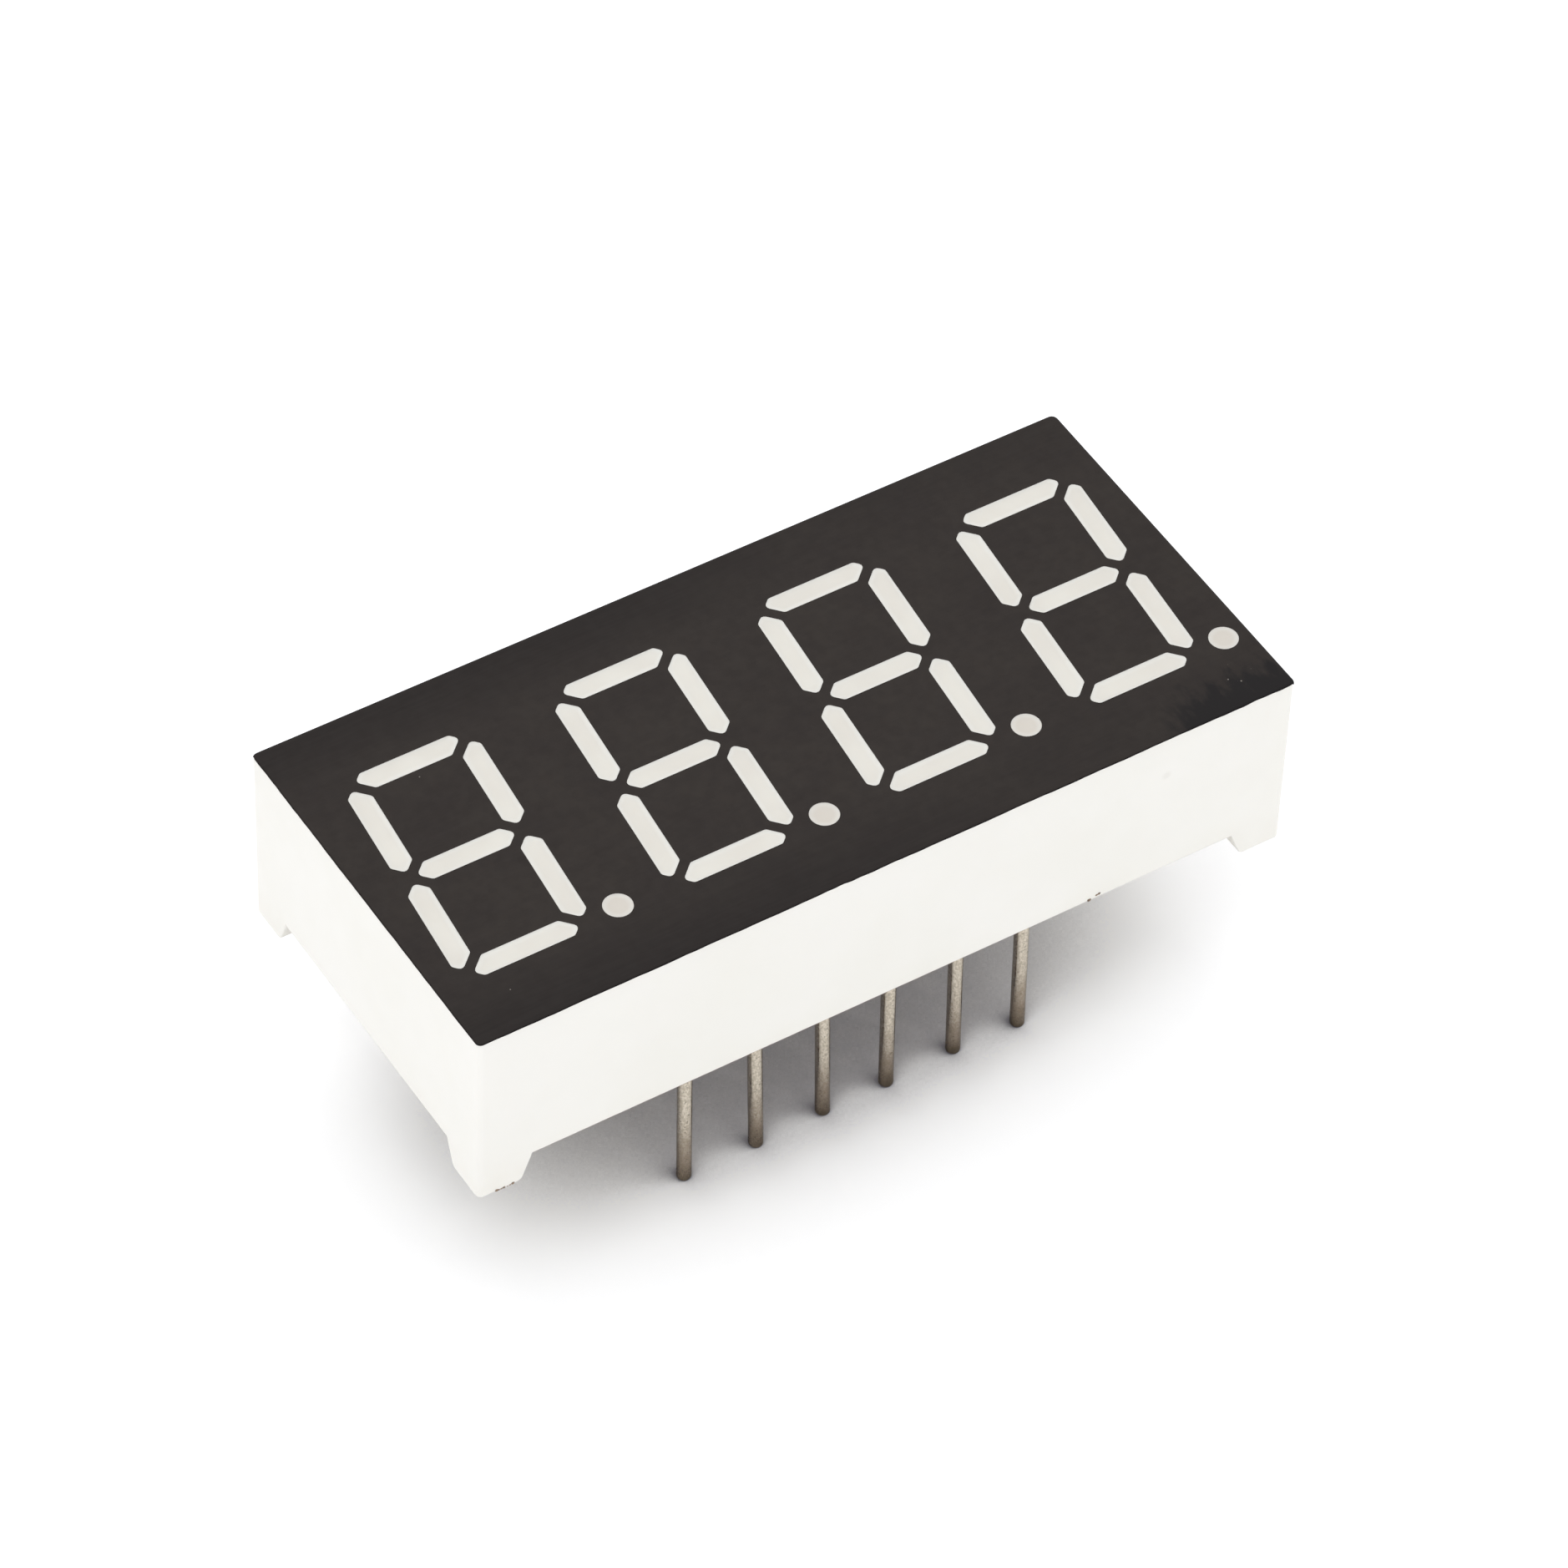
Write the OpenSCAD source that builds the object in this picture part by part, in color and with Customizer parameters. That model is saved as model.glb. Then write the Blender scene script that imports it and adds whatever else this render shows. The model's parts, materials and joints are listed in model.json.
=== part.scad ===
// Four-digit seven segment LED display, 9.2 mm (0.36 inch) digits, 12 pins.
// It stands on its pin tips at z = 0. +X is the reading direction, +Y the
// top of the digits, and +Z looks out of the face.
// The outline of each bar follows one rule: a slanted digit box with cut
// corners, split by 45 degree mitres of one gap.

/* [Housing] */
// Size of the housing along the height of the digits
body_w = 14; // [13.8:0.1:20]
// Height of the housing from the feet to the face
body_h = 7.2; // [6:0.1:10]
// Blank strip beyond the first and the last digit cell
end_strip = 0; // [0:0.1:5]
// Thickness of the two long walls
side_wall = 1.0; // [0.6:0.05:1.05]
// Thickness of the two end walls
end_wall = 0.6; // [0.4:0.05:0.65]
// Radius of the four upright corners
corner_r = 0.2; // [0.05:0.05:0.5]
// Height of the corner feet below the rim
foot_h = 1.05; // [0.5:0.05:1.5]
// Width of a foot where it leaves the rim
foot_base = 1.95; // [1.5:0.05:3]
// Width of a foot at its tip
foot_tip = 1.55; // [1:0.05:2]
// Radius of the inner edge of a foot tip
foot_r = 0.25; // [0.05:0.05:0.3]

/* [Digits] */
// Distance from one digit to the next
digit_pitch = 7.5; // [7.4:0.1:10]
// Height of a digit
digit_h = 9.2; // [7.6:0.1:9.3]
// Width of a digit before it is slanted
digit_w = 4.8; // [4.4:0.1:4.9]
// Thickness of a bar
bar_t = 0.78; // [0.6:0.02:0.96]
// Gap between two bars, square to the mitre
bar_gap = 0.36; // [0.2:0.02:0.5]
// Leg of the cut across each outer corner of a digit
corner_cut = 0.8; // [0.5:0.02:1.1]
// Rounding of the window corners
window_r = 0.16; // [0.04:0.02:0.16]
// Slant of the digits in degrees
slant = 5.3; // [0:0.1:6]
// Diameter of a decimal point
dot_d = 0.98; // [0.7:0.02:1.1]
// Decimal point's centre to the right of the middle of its digit
dot_x = 2.93; // [2.8:0.01:3.1]
// Shift of a digit from the middle of its cell
digit_shift = -0.06; // [-0.3:0.02:0.1]
// Thickness of the printed face
ink_t = 0.04; // [0.02:0.01:0.1]
// Bare edge left round the printed face
ink_edge = 0.03; // [0:0.01:0.2]

/* [Pins] */
// Diameter of a pin, with its tin
pin_d = 0.5; // [0.4:0.02:0.56]
// Distance between pins in a row
pin_pitch = 2.54; // [2.3:0.01:2.8]
// Distance between the two rows
row_spacing = 10.16; // [10:0.01:10.2]
// Free length of a pin below the feet
pin_free = 6.2; // [2.5:0.1:12]
// Rounding of a pin tip
pin_tip_r = 0.12; // [0.02:0.02:0.2]
// Thickness of the tin on the free length of a pin
tin_t = 0.01; // [0.005:0.005:0.03]
// Bare stretch of a pin between its tin and the resin
tin_gap = 0.15; // [0.05:0.05:0.5]

/* [Inside] */
// Thickness of the circuit board
board_t = 1.0; // [0.6:0.1:1.6]
// Gap between the board's edge and the walls
board_gap = 0.2; // [0.05:0.05:0.4]
// Width of the ledge that the board rests on
ledge_w = 0.2; // [0.1:0.05:0.25]
// Resin left between the board and the reflector
film_t = 0.15; // [0.13:0.01:0.3]
// Thickness of the resin behind the board
seal_t = 0.76; // [0.6:0.02:1.2]
// Depth of the resin's surface inside the rim
seal_drop = 0.1; // [0:0.02:0.4]
// Straight depth of a window before its funnel starts
window_land = 0.5; // [0.2:0.1:1.5]
// Length of a funnel at the board
funnel_foot = 1.7; // [1.4:0.05:2.2]
// Shift of a decimal point's funnel towards its digit, at the board
dot_lean = 0.8; // [0.6:0.05:1]
// Thickness of the copper foil
copper_t = 0.035; // [0.02:0.005:0.05]
// Width of a track
track_w = 0.16; // [0.1:0.02:0.2]
// Side of an LED chip
chip_w = 0.25; // [0.2:0.01:0.3]
// Height of an LED chip
chip_t = 0.18; // [0.1:0.01:0.25]
// Thickness of the silver glue under a chip
glue_t = 0.02; // [0.01:0.005:0.03]
// Diameter of a bond wire
wire_d = 0.03; // [0.02:0.002:0.05]

/* [Hidden] */
DIGITS = [1, 2, 3, 4];
SEGMENTS = ["a", "b", "c", "d", "e", "f", "g", "dp"];
BARS = ["a", "b", "c", "d", "e", "f", "g"];
ROW_PINS = 6;
PINS = [for (n = [1 : 2 * ROW_PINS]) n];

$fn = 32;                  // small rounds are true circles in the STEP files
eps = 0.01;                // overshoot of a cut past a face
body_l = len(DIGITS) * digit_pitch + 2 * end_strip;

// Levels, from the pin tips up.
z_foot = pin_free;
z_rim = z_foot + foot_h;
z_face = z_foot + body_h;
z_deck = z_face - ink_t;   // top of the moulding, under the ink
z_seal = z_rim + seal_drop;
z_back = z_seal + seal_t;  // back of the board
z_front = z_back + board_t;
z_ceiling = z_front + film_t; // underside of the reflector

// The cavity holds the board, which rests on a ledge round the film space.
cavity_l = body_l - 2 * end_wall;
cavity_w = body_w - 2 * side_wall;
board_l = cavity_l - 2 * board_gap;
board_w = cavity_w - 2 * board_gap;
film_l = board_l - 2 * ledge_w;
film_w = board_w - 2 * ledge_w;

// Places along a bar from its middle: chip, wire bond and via.
chip_k = -0.35;
bond_k = 0.35;
via_k = 0.75;
// The same for a decimal point, whose funnel is shorter.
dot_chip_k = -0.2;
dot_bond_k = 0.35;
dot_via_k = 0.68;
dot_flare = 0.12;          // widening of its funnel at the board

pad_w = 0.34;              // side of a chip's pad and width of a bond pad
via_d = 0.2;
via_pad_d = 0.36;
plating_t = 0.03;
solder_gap = 0.05;         // room for solder between a pin and its hole
hole_r = pin_d / 2 + solder_gap;
core_r = pin_d / 2 - tin_t; // a pin without its tin
pin_ring = 0.125;          // width of the copper ring round a pin's hole
pin_pad_r = hole_r + pin_ring;
pin_rise = 0.12;           // end of a pin above the board
solder_rise = 0.1;
solder_drop = 0.45;        // height of the solder cone behind the board
bond_t = 0.03;             // thickness of a wire's flattened ends
bond_d = 0.09;
wire_rise = 0.22;          // top of a wire's arch above its chip end
wire_peak_k = 0.4;         // place of that top along the wire
glue_spread = 0.05;        // diameter of the glue beyond the chip's side
ARC_STEPS = 4;
DOT_SIDES = 32;
CONE_STEPS = 6;

// ---- the rule of the digits ----

// A mitre of width bar_gap stands this far off its crossing, along X or Y.
mitre = bar_gap / sqrt(2);

// Bar a, the top one, in a digit box whose middle is the origin.
function top_bar() = let (w = digit_w / 2, h = digit_h / 2, c = corner_cut)
    [
        [-w + c, h],
        [-w + (c + mitre) / 2, h - (c - mitre) / 2],
        [-w + bar_t + mitre, h - bar_t],
        [w - bar_t - mitre, h - bar_t],
        [w - (c + mitre) / 2, h - (c - mitre) / 2],
        [w - c, h]
    ];

// Bar f, the upper left one.
function left_bar() = let (w = digit_w / 2, h = digit_h / 2, c = corner_cut)
    [
        [-w, h - c],
        [-w, mitre + bar_t / 2],
        [-w + bar_t / 2, mitre],
        [-w + bar_t, mitre + bar_t / 2],
        [-w + bar_t, h - bar_t - mitre],
        [-w + (c - mitre) / 2, h - (c + mitre) / 2]
    ];

// Bar g, the middle one.
function middle_bar() = let (w = (digit_w - bar_t) / 2 - mitre, t = bar_t / 2)
    [[-w, 0], [-w + t, -t], [w - t, -t], [w, 0], [w - t, t], [-w + t, t]];

// Mirrors keep the points anticlockwise by reading them backwards.
function backwards(p) = [for (i = [len(p) - 1 : -1 : 0]) p[i]];
function flip_x(p) = backwards([for (q = p) [-q.x, q.y]]);
function flip_y(p) = backwards([for (q = p) [q.x, -q.y]]);

function upright(s) =
    s == "a" ? top_bar() :
    s == "b" ? flip_x(left_bar()) :
    s == "c" ? flip_x(flip_y(left_bar())) :
    s == "d" ? flip_y(top_bar()) :
    s == "e" ? flip_y(left_bar()) :
    s == "f" ? left_bar() : middle_bar();

function slanted(q) = [q.x + q.y * tan(slant), q.y];

// Replaces each corner of an outline by an arc of radius r.
function rounded(p, r) = [
    for (i = [0 : len(p) - 1])
        let (
            a = p[(i + len(p) - 1) % len(p)] - p[i],
            b = p[(i + 1) % len(p)] - p[i],
            u = a / norm(a),
            v = b / norm(b),
            half = acos(u * v) / 2,
            mid = (u + v) / norm(u + v),
            centre = p[i] + mid * r / sin(half),
            from = atan2(-mid.y, -mid.x),
            side = cross(u, v) > 0 ? -1 : 1
        )
        for (k = [0 : ARC_STEPS - 1])
            let (t = from + side * (90 - half) * (2 * k / (ARC_STEPS - 1) - 1))
            centre + r * [cos(t), sin(t)]
];

function outline(s) = rounded([for (q = upright(s)) slanted(q)], window_r);

// Middle of a bar, and the direction along it from its chip to its via.
function bar_x(s) = (s == "b" || s == "c") ? (digit_w - bar_t) / 2 :
    (s == "e" || s == "f") ? -(digit_w - bar_t) / 2 : 0;
function bar_y(s) = s == "a" ? (digit_h - bar_t) / 2 :
    s == "d" ? -(digit_h - bar_t) / 2 :
    (s == "b" || s == "f") ? (digit_h - bar_t) / 4 :
    (s == "c" || s == "e") ? -(digit_h - bar_t) / 4 : 0;
dot_place = [dot_x, -(digit_h - bar_t) / 2];
function seat(s) = s == "dp" ? dot_place - [dot_lean, 0] : slanted([bar_x(s), bar_y(s)]);
function along(s) =
    s == "dp" ? [0, 1] :
    (s == "e" || s == "f") ? [sin(slant), cos(slant)] :
    (s == "b" || s == "c") ? [-sin(slant), -cos(slant)] : [1, 0];

function digit_centre(d) = [(d - (len(DIGITS) + 1) / 2) * digit_pitch + digit_shift, 0];

// Places on the board of a segment's chip, wire bond and via.
function on_board(d, s, k) = digit_centre(d) + seat(s) + k * along(s);
function chip_at(d, s) = on_board(d, s, s == "dp" ? dot_chip_k : chip_k);
function bond_at(d, s) = on_board(d, s, s == "dp" ? dot_bond_k : bond_k);
function via_at(d, s) = on_board(d, s, s == "dp" ? dot_via_k : via_k);
function turn(s) = atan2(along(s).y, along(s).x);

// ---- pins, numbered from the lower left, anticlockwise ----

function pin_at(n) = n <= ROW_PINS
    ? [(n - (ROW_PINS + 1) / 2) * pin_pitch, -row_spacing / 2]
    : [((3 * ROW_PINS + 1) / 2 - n) * pin_pitch, row_spacing / 2];

// ---- tracks ----

lane = 2 * track_w;        // from the middle of one track to the next

// Outline of a track of width w along the points, with mitred bends.
function normal(a, b) = [a.y - b.y, b.x - a.x] / norm(b - a);
function bend(m, n) = (m + n) / (1 + m * n);
function distinct(p) = [for (i = [0 : len(p) - 1]) if (i == 0 || norm(p[i] - p[i - 1]) > eps) p[i]];
function ribbon(points, w) = let (
        p = distinct(points),
        last = len(p) - 1,
        n = [for (i = [1 : last]) normal(p[i - 1], p[i])],
        side = [for (i = [0 : last]) bend(n[max(i - 1, 0)], n[min(i, last - 1)]) * w / 2]
    )
    concat(
        [for (i = [0 : last]) p[i] - side[i]],
        [for (i = [last : -1 : 0]) p[i] + side[i]]
    );

// A route from p to q: straight along the longer way, then 45 degrees.
function dogleg(p, q) = let (d = q - p, k = min(abs(d.x), abs(d.y)))
    [p, q - [sign(d.x), sign(d.y)] * k, q];
// The same with its straight stretch moved sideways to x.
function channel(p, x, q) = let (
        a = [x, p.y + sign(q.y - p.y) * abs(x - p.x)],
        b = [x, q.y - sign(q.y - p.y) * abs(x - q.x)]
    )
    [p, a, b, q];

// The cathodes of one digit's chips, joined on the front of the board.
function digit_links(d) = let (
        a = chip_at(d, "a"),
        b = chip_at(d, "b"),
        c = chip_at(d, "c"),
        e = chip_at(d, "e"),
        f = chip_at(d, "f"),
        g = chip_at(d, "g"),
        low = chip_at(d, "d"),
        dot = chip_at(d, "dp"),
        rise = (g.y - e.y) / 2,
        rail = c.x - lane,
        dot_rail = bond_at(d, "c").x - pad_w / 2 - lane
    )
    [
        dogleg(a, g),
        dogleg(f, g),
        [e, [g.x - rise, e.y], [g.x, e.y + rise], g],
        [low, [low.x, e.y + rise + low.x - g.x]],
        [b, [a.x, b.y]],
        channel(c, rail, [rail, b.y]),
        [dot, [dot_rail + track_w, dot.y], [dot_rail, dot.y + track_w],
            [dot_rail, c.y - c.x + dot_rail], c]
    ];

// Free lanes beside a pin, or beside a pin and a column of pads.
function pin_lane(n, side) = pin_at(n).x + side * lane;
function left_of(n, pad) = min(pin_lane(n, -1), pad.x - pad_w / 2 - lane);
function right_of(n, pad) = max(pin_lane(n, 1), pad.x + pad_w / 2 + lane);
// Vias that carry the pins of c and f to their lines on the back.
c_via = [pin_lane(4, -1), via_at(1, "c").y];
f_via = [pin_lane(10, 1), via_at(1, "f").y];
// Lane between digits 2 and 3.
between_2_3 = (digit_centre(2).x + digit_centre(3).x) / 2 - digit_shift + track_w;

// One route on the front for each pin.
function pin_route(n) =
    n == 1 ? channel(pin_at(1), left_of(1, chip_at(2, "e")), via_at(2, "e")) :
    n == 2 ? dogleg(pin_at(2), via_at(2, "d")) :
    n == 3 ? channel(pin_at(3), right_of(3, chip_at(2, "dp")), via_at(2, "dp")) :
    n == 4 ? channel(pin_at(4), c_via.x, c_via) :
    n == 5 ? let (p = pin_at(5), v = via_at(3, "g"), x = max(v.x, via_at(3, "d").x + via_pad_d / 2 + lane))
        [p, [x - lane, p.y], [x, p.y + lane], [x, v.y - x + v.x], v] :
    n == 6 ? dogleg(pin_at(6), chip_at(4, "d")) :
    n == 7 ? channel(pin_at(7), right_of(7, chip_at(3, "b")), via_at(3, "b")) :
    n == 8 ? dogleg(pin_at(8), chip_at(3, "a")) :
    n == 9 ? let (c = chip_at(2, "c"), p = pin_at(9), x = between_2_3)
        [c, [x - lane, c.y], [x, c.y + lane], [x, p.y - p.x + x], p] :
    n == 10 ? channel(pin_at(10), f_via.x, f_via) :
    n == 11 ? dogleg(pin_at(11), via_at(2, "a")) :
    let (b = chip_at(1, "b"), p = pin_at(12), k = p.y - b.y - lane)
        [b, b + [0, lane], b + [k, lane + k], p];

// ---- shapes ----

// Draws its children between two levels.
module slab(from, to) {
    translate([0, 0, from]) linear_extrude(to - from) children();
}

module block(l, w, from, to) {
    slab(from, to) square([l, w], center = true);
}

// A rectangle with round corners, as true arcs.
module plate_outline(l, w, r) {
    square([l - 2 * r, w], center = true);
    square([l, w - 2 * r], center = true);
    for (x = [-1, 1], y = [-1, 1])
        translate([x * (l / 2 - r), y * (w / 2 - r)]) circle(r);
}

module at_digits() {
    for (d = DIGITS) translate(digit_centre(d)) children();
}

// A closed solid through rings of points, from the highest ring down.
module loft(rings) {
    n = len(rings[0]);
    last = len(rings) - 1;
    polyhedron(
        points = [for (ring = rings) each ring],
        faces = concat(
            [[for (i = [n - 1 : -1 : 0]) i]],
            [[for (i = [0 : n - 1]) last * n + i]],
            [for (k = [0 : last - 1], i = [0 : n - 1])
                [k * n + i, k * n + (i + 1) % n, (k + 1) * n + (i + 1) % n, (k + 1) * n + i]]
        )
    );
}

// The light path of a segment: a straight window from the level top down to
// window_land, then a funnel to its foot, which dips into the film space.
module well(window, foot, top) {
    loft([
        for (p = [[window, top], [window, z_face - window_land],
                [foot, z_ceiling], [foot, z_ceiling - film_t / 2]])
            [for (q = p[0]) [q.x, q.y, p[1]]]
    ]);
}

// The foot of a bar's funnel: its outline, shortened along the bar.
function bar_foot(s) = let (
        p = outline(s),
        u = along(s),
        m = seat(s),
        reach = max([for (q = p) abs((q - m) * u)]),
        k = funnel_foot / 2 / reach - 1
    )
    [for (q = p) q + u * ((q - m) * u) * k];

function ring(centre, d) = [for (k = [0 : DOT_SIDES - 1])
    centre + d / 2 * [cos(360 * k / DOT_SIDES), sin(360 * k / DOT_SIDES)]];

module wells(top) {
    at_digits() {
        for (s = BARS) well(outline(s), bar_foot(s), top);
        well(ring(dot_place, dot_d), ring(seat("dp"), dot_d + dot_flare), top);
    }
}

// Side view of the two feet on a wall of length l, hanging from the rim.
module foot_profile(l) {
    for (m = [0, 1]) mirror([m, 0]) {
        a = [-l / 2 + foot_base, 0];
        b = [-l / 2 + foot_tip, -foot_h];
        u = (a - b) / norm(a - b);
        half = acos(-u.x) / 2;
        centre = b + [-foot_r / tan(half), foot_r];
        sweep = 180 - 2 * half;
        arc = [for (k = [0 : CONE_STEPS])
            centre + foot_r * [cos(-90 + sweep * k / CONE_STEPS), sin(-90 + sweep * k / CONE_STEPS)]];
        polygon(concat([[-l / 2, eps], [-l / 2, -foot_h]], arc, [a, a + [0, eps]]));
    }
}

// ---- the pieces ----

// White moulding: a deck with a well for each segment, four walls and feet.
module housing() {
    color([0.96, 0.95, 0.93]) difference() {
        union() {
            slab(z_rim, z_deck) plate_outline(body_l, body_w, corner_r);
            intersection() {
                slab(z_foot, z_rim) plate_outline(body_l, body_w, corner_r);
                translate([0, body_w / 2, z_rim]) rotate([90, 0, 0])
                    linear_extrude(body_w) foot_profile(body_l);
                translate([-body_l / 2, 0, z_rim]) rotate([90, 0, 90])
                    linear_extrude(body_l) foot_profile(body_w);
            }
        }
        block(cavity_l, cavity_w, z_foot - eps, z_front);
        block(film_l, film_w, z_front - eps, z_ceiling);
        wells(z_deck + eps);
    }
}

// Black print on the face, open over every window.
module face_ink() {
    color([0.23, 0.215, 0.21]) slab(z_deck, z_face) difference() {
        plate_outline(body_l - 2 * ink_edge, body_w - 2 * ink_edge, corner_r);
        at_digits() {
            for (s = BARS) polygon(outline(s));
            polygon(ring(dot_place, dot_d));
        }
    }
}

// Milky resin that fills the wells and the film space before the board.
module segment_resin() {
    color([0.9, 0.89, 0.86]) difference() {
        union() {
            wells(z_face);
            block(film_l, film_w, z_front, z_ceiling);
        }
        front_tracks();
        die_attach();
        for (d = DIGITS) {
            bond_wires(d);
            for (s = SEGMENTS) led_chip(d, s);
        }
        solder_joints();
        for (n = PINS) pin(n);
    }
}

// Clear resin poured over the back of the board and round its edge.
module back_seal() {
    color([0.86, 0.84, 0.76]) difference() {
        block(cavity_l, cavity_w, z_seal, z_front);
        block(board_l, board_w, z_back, z_front + eps);
        back_tracks();
        solder_joints();
        for (n = PINS) pin(n);
    }
}

// Repeats its children at every via, and the next module at every pin.
module via_places() {
    for (d = DIGITS, s = SEGMENTS) translate(via_at(d, s)) children();
    for (v = [c_via, f_via]) translate(v) children();
}

module pin_places() {
    for (n = PINS) translate(pin_at(n)) children();
}

module circuit_board() {
    color([0.72, 0.66, 0.42]) slab(z_back, z_front) difference() {
        square([board_l, board_w], center = true);
        pin_places() circle(hole_r + plating_t);
        via_places() circle(via_d / 2);
    }
}

// Copper of the chip side: cathode links, anode pads and the pins' routes.
module front_tracks() {
    color([0.85, 0.66, 0.32]) slab(z_front, z_front + copper_t) difference() {
        union() {
            for (d = DIGITS) {
                for (p = digit_links(d)) polygon(ribbon(p, track_w));
                for (s = SEGMENTS) {
                    translate(chip_at(d, s)) rotate(turn(s)) square(pad_w, center = true);
                    polygon(ribbon([bond_at(d, s) - along(s) * pad_w / 2, via_at(d, s)], pad_w));
                }
            }
            for (n = PINS) polygon(ribbon(pin_route(n), track_w));
            via_places() circle(d = via_pad_d);
            pin_places() circle(pin_pad_r);
        }
        pin_places() circle(hole_r);
    }
}

// Copper of the back: one line across all digits for each segment.
module back_tracks() {
    color([0.85, 0.66, 0.32]) slab(z_back - copper_t, z_back) {
        for (s = SEGMENTS)
            polygon(ribbon([via_at(DIGITS[0], s), via_at(DIGITS[3], s)], track_w));
        via_places() circle(d = via_pad_d);
        pin_places() difference() {
            circle(pin_pad_r);
            circle(hole_r);
        }
    }
}

// Copper in the board's holes: open at the pins, solid in the vias.
module through_plating() {
    color([0.85, 0.66, 0.32]) slab(z_back, z_front) {
        pin_places() difference() {
            circle(hole_r + plating_t);
            circle(hole_r);
        }
        via_places() circle(via_d / 2);
    }
}

// Solder that fills each plated hole and climbs the pin behind the board.
module solder_joints() {
    low = z_back - copper_t;
    high = z_front + copper_t;
    wide = pin_pad_r - core_r - solder_gap;
    cone = [for (k = [0 : CONE_STEPS]) let (t = 90 * k / CONE_STEPS)
        [core_r + wide * (1 - sin(t)), low - solder_drop * (1 - cos(t))]];
    profile = concat(
        backwards(cone),
        [[hole_r, low], [hole_r, high], [hole_r + solder_gap, high]],
        [[core_r, z_front + solder_rise]]
    );
    color([0.74, 0.74, 0.73]) pin_places() rotate_extrude() polygon(profile);
}

// Silver glue under each chip.
module die_attach() {
    color([0.8, 0.8, 0.8])
        for (d = DIGITS, s = SEGMENTS)
            translate(concat(chip_at(d, s), [z_front + copper_t]))
                cylinder(h = glue_t, d = chip_w + glue_spread);
}

module led_chip(d, s) {
    color([0.85, 0.3, 0.2])
        translate(concat(chip_at(d, s), [z_front + copper_t + glue_t + chip_t / 2]))
            rotate([0, 0, turn(s)]) cube([chip_w, chip_w, chip_t], center = true);
}

// One arched wire from a chip's top to its bond pad, with flattened ends.
module bond_wire(span) {
    top = glue_t + chip_t;
    p = [0, top + bond_t / 2];
    q = [span, bond_t / 2];
    peak = [span * wire_peak_k, top + wire_rise];
    // Centre, seen from p, of the circle through p, peak and q.
    a = peak - p;
    b = q - p;
    c = [b.y * (a * a) - a.y * (b * b), a.x * (b * b) - b.x * (a * a)] / (2 * cross(a, b));
    r = norm(c);
    from = atan2(-c.y + b.y, -c.x + b.x);
    to = atan2(-c.y, -c.x);
    translate([p.x + c.x, 0, p.y + c.y]) rotate([90, 0, 0]) rotate([0, 0, from])
        rotate_extrude(angle = to - from) translate([r, 0]) circle(d = wire_d);
    translate([0, 0, top]) cylinder(h = bond_t, d = bond_d);
    translate([span, 0, 0]) cylinder(h = bond_t, d = bond_d);
}

module bond_wires(d) {
    color([0.95, 0.78, 0.35])
        for (s = SEGMENTS)
            translate(concat(chip_at(d, s), [z_front + copper_t])) rotate([0, 0, turn(s)])
                bond_wire(norm(bond_at(d, s) - chip_at(d, s)));
}

// A round pin with a softened tip. Its tin stops short of the resin.
module pin(n) {
    r = pin_d / 2;
    tin_end = z_seal - tin_gap;
    pin_end = z_front + pin_rise;
    arc = [for (k = [0 : CONE_STEPS]) let (t = -90 + 90 * k / CONE_STEPS)
        [r - pin_tip_r + pin_tip_r * cos(t), pin_tip_r + pin_tip_r * sin(t)]];
    upper = [[r, tin_end], [core_r, tin_end], [core_r, pin_end], [0, pin_end]];
    color([0.75, 0.72, 0.66]) translate(pin_at(n)) rotate_extrude()
        polygon(concat([[0, 0]], arc, upper));
}

housing();
face_ink();
segment_resin();
back_seal();
circuit_board();
front_tracks();
back_tracks();
through_plating();
solder_joints();
die_attach();
for (d = DIGITS) bond_wires(d);
for (n = PINS) pin(n);
for (d = DIGITS, s = SEGMENTS) led_chip(d, s);
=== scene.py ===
# %% [markdown]
# # A four-digit seven segment display
# The real object is a white moulded box of 30 x 14 x 7.2 mm. Its face carries a black print, open
# over 28 bars and 4 decimal points, which are filled with milky resin. Two rows of six tinned pins
# carry it. The CAD model holds every size, so this lesson only adds looks: soft edges, the rag of
# the print, the dished resin, leaning pins, and a finish for every piece, also for those inside.

import json
import math

import bmesh
import bpy
from mathutils import Matrix, Vector, noise


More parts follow.
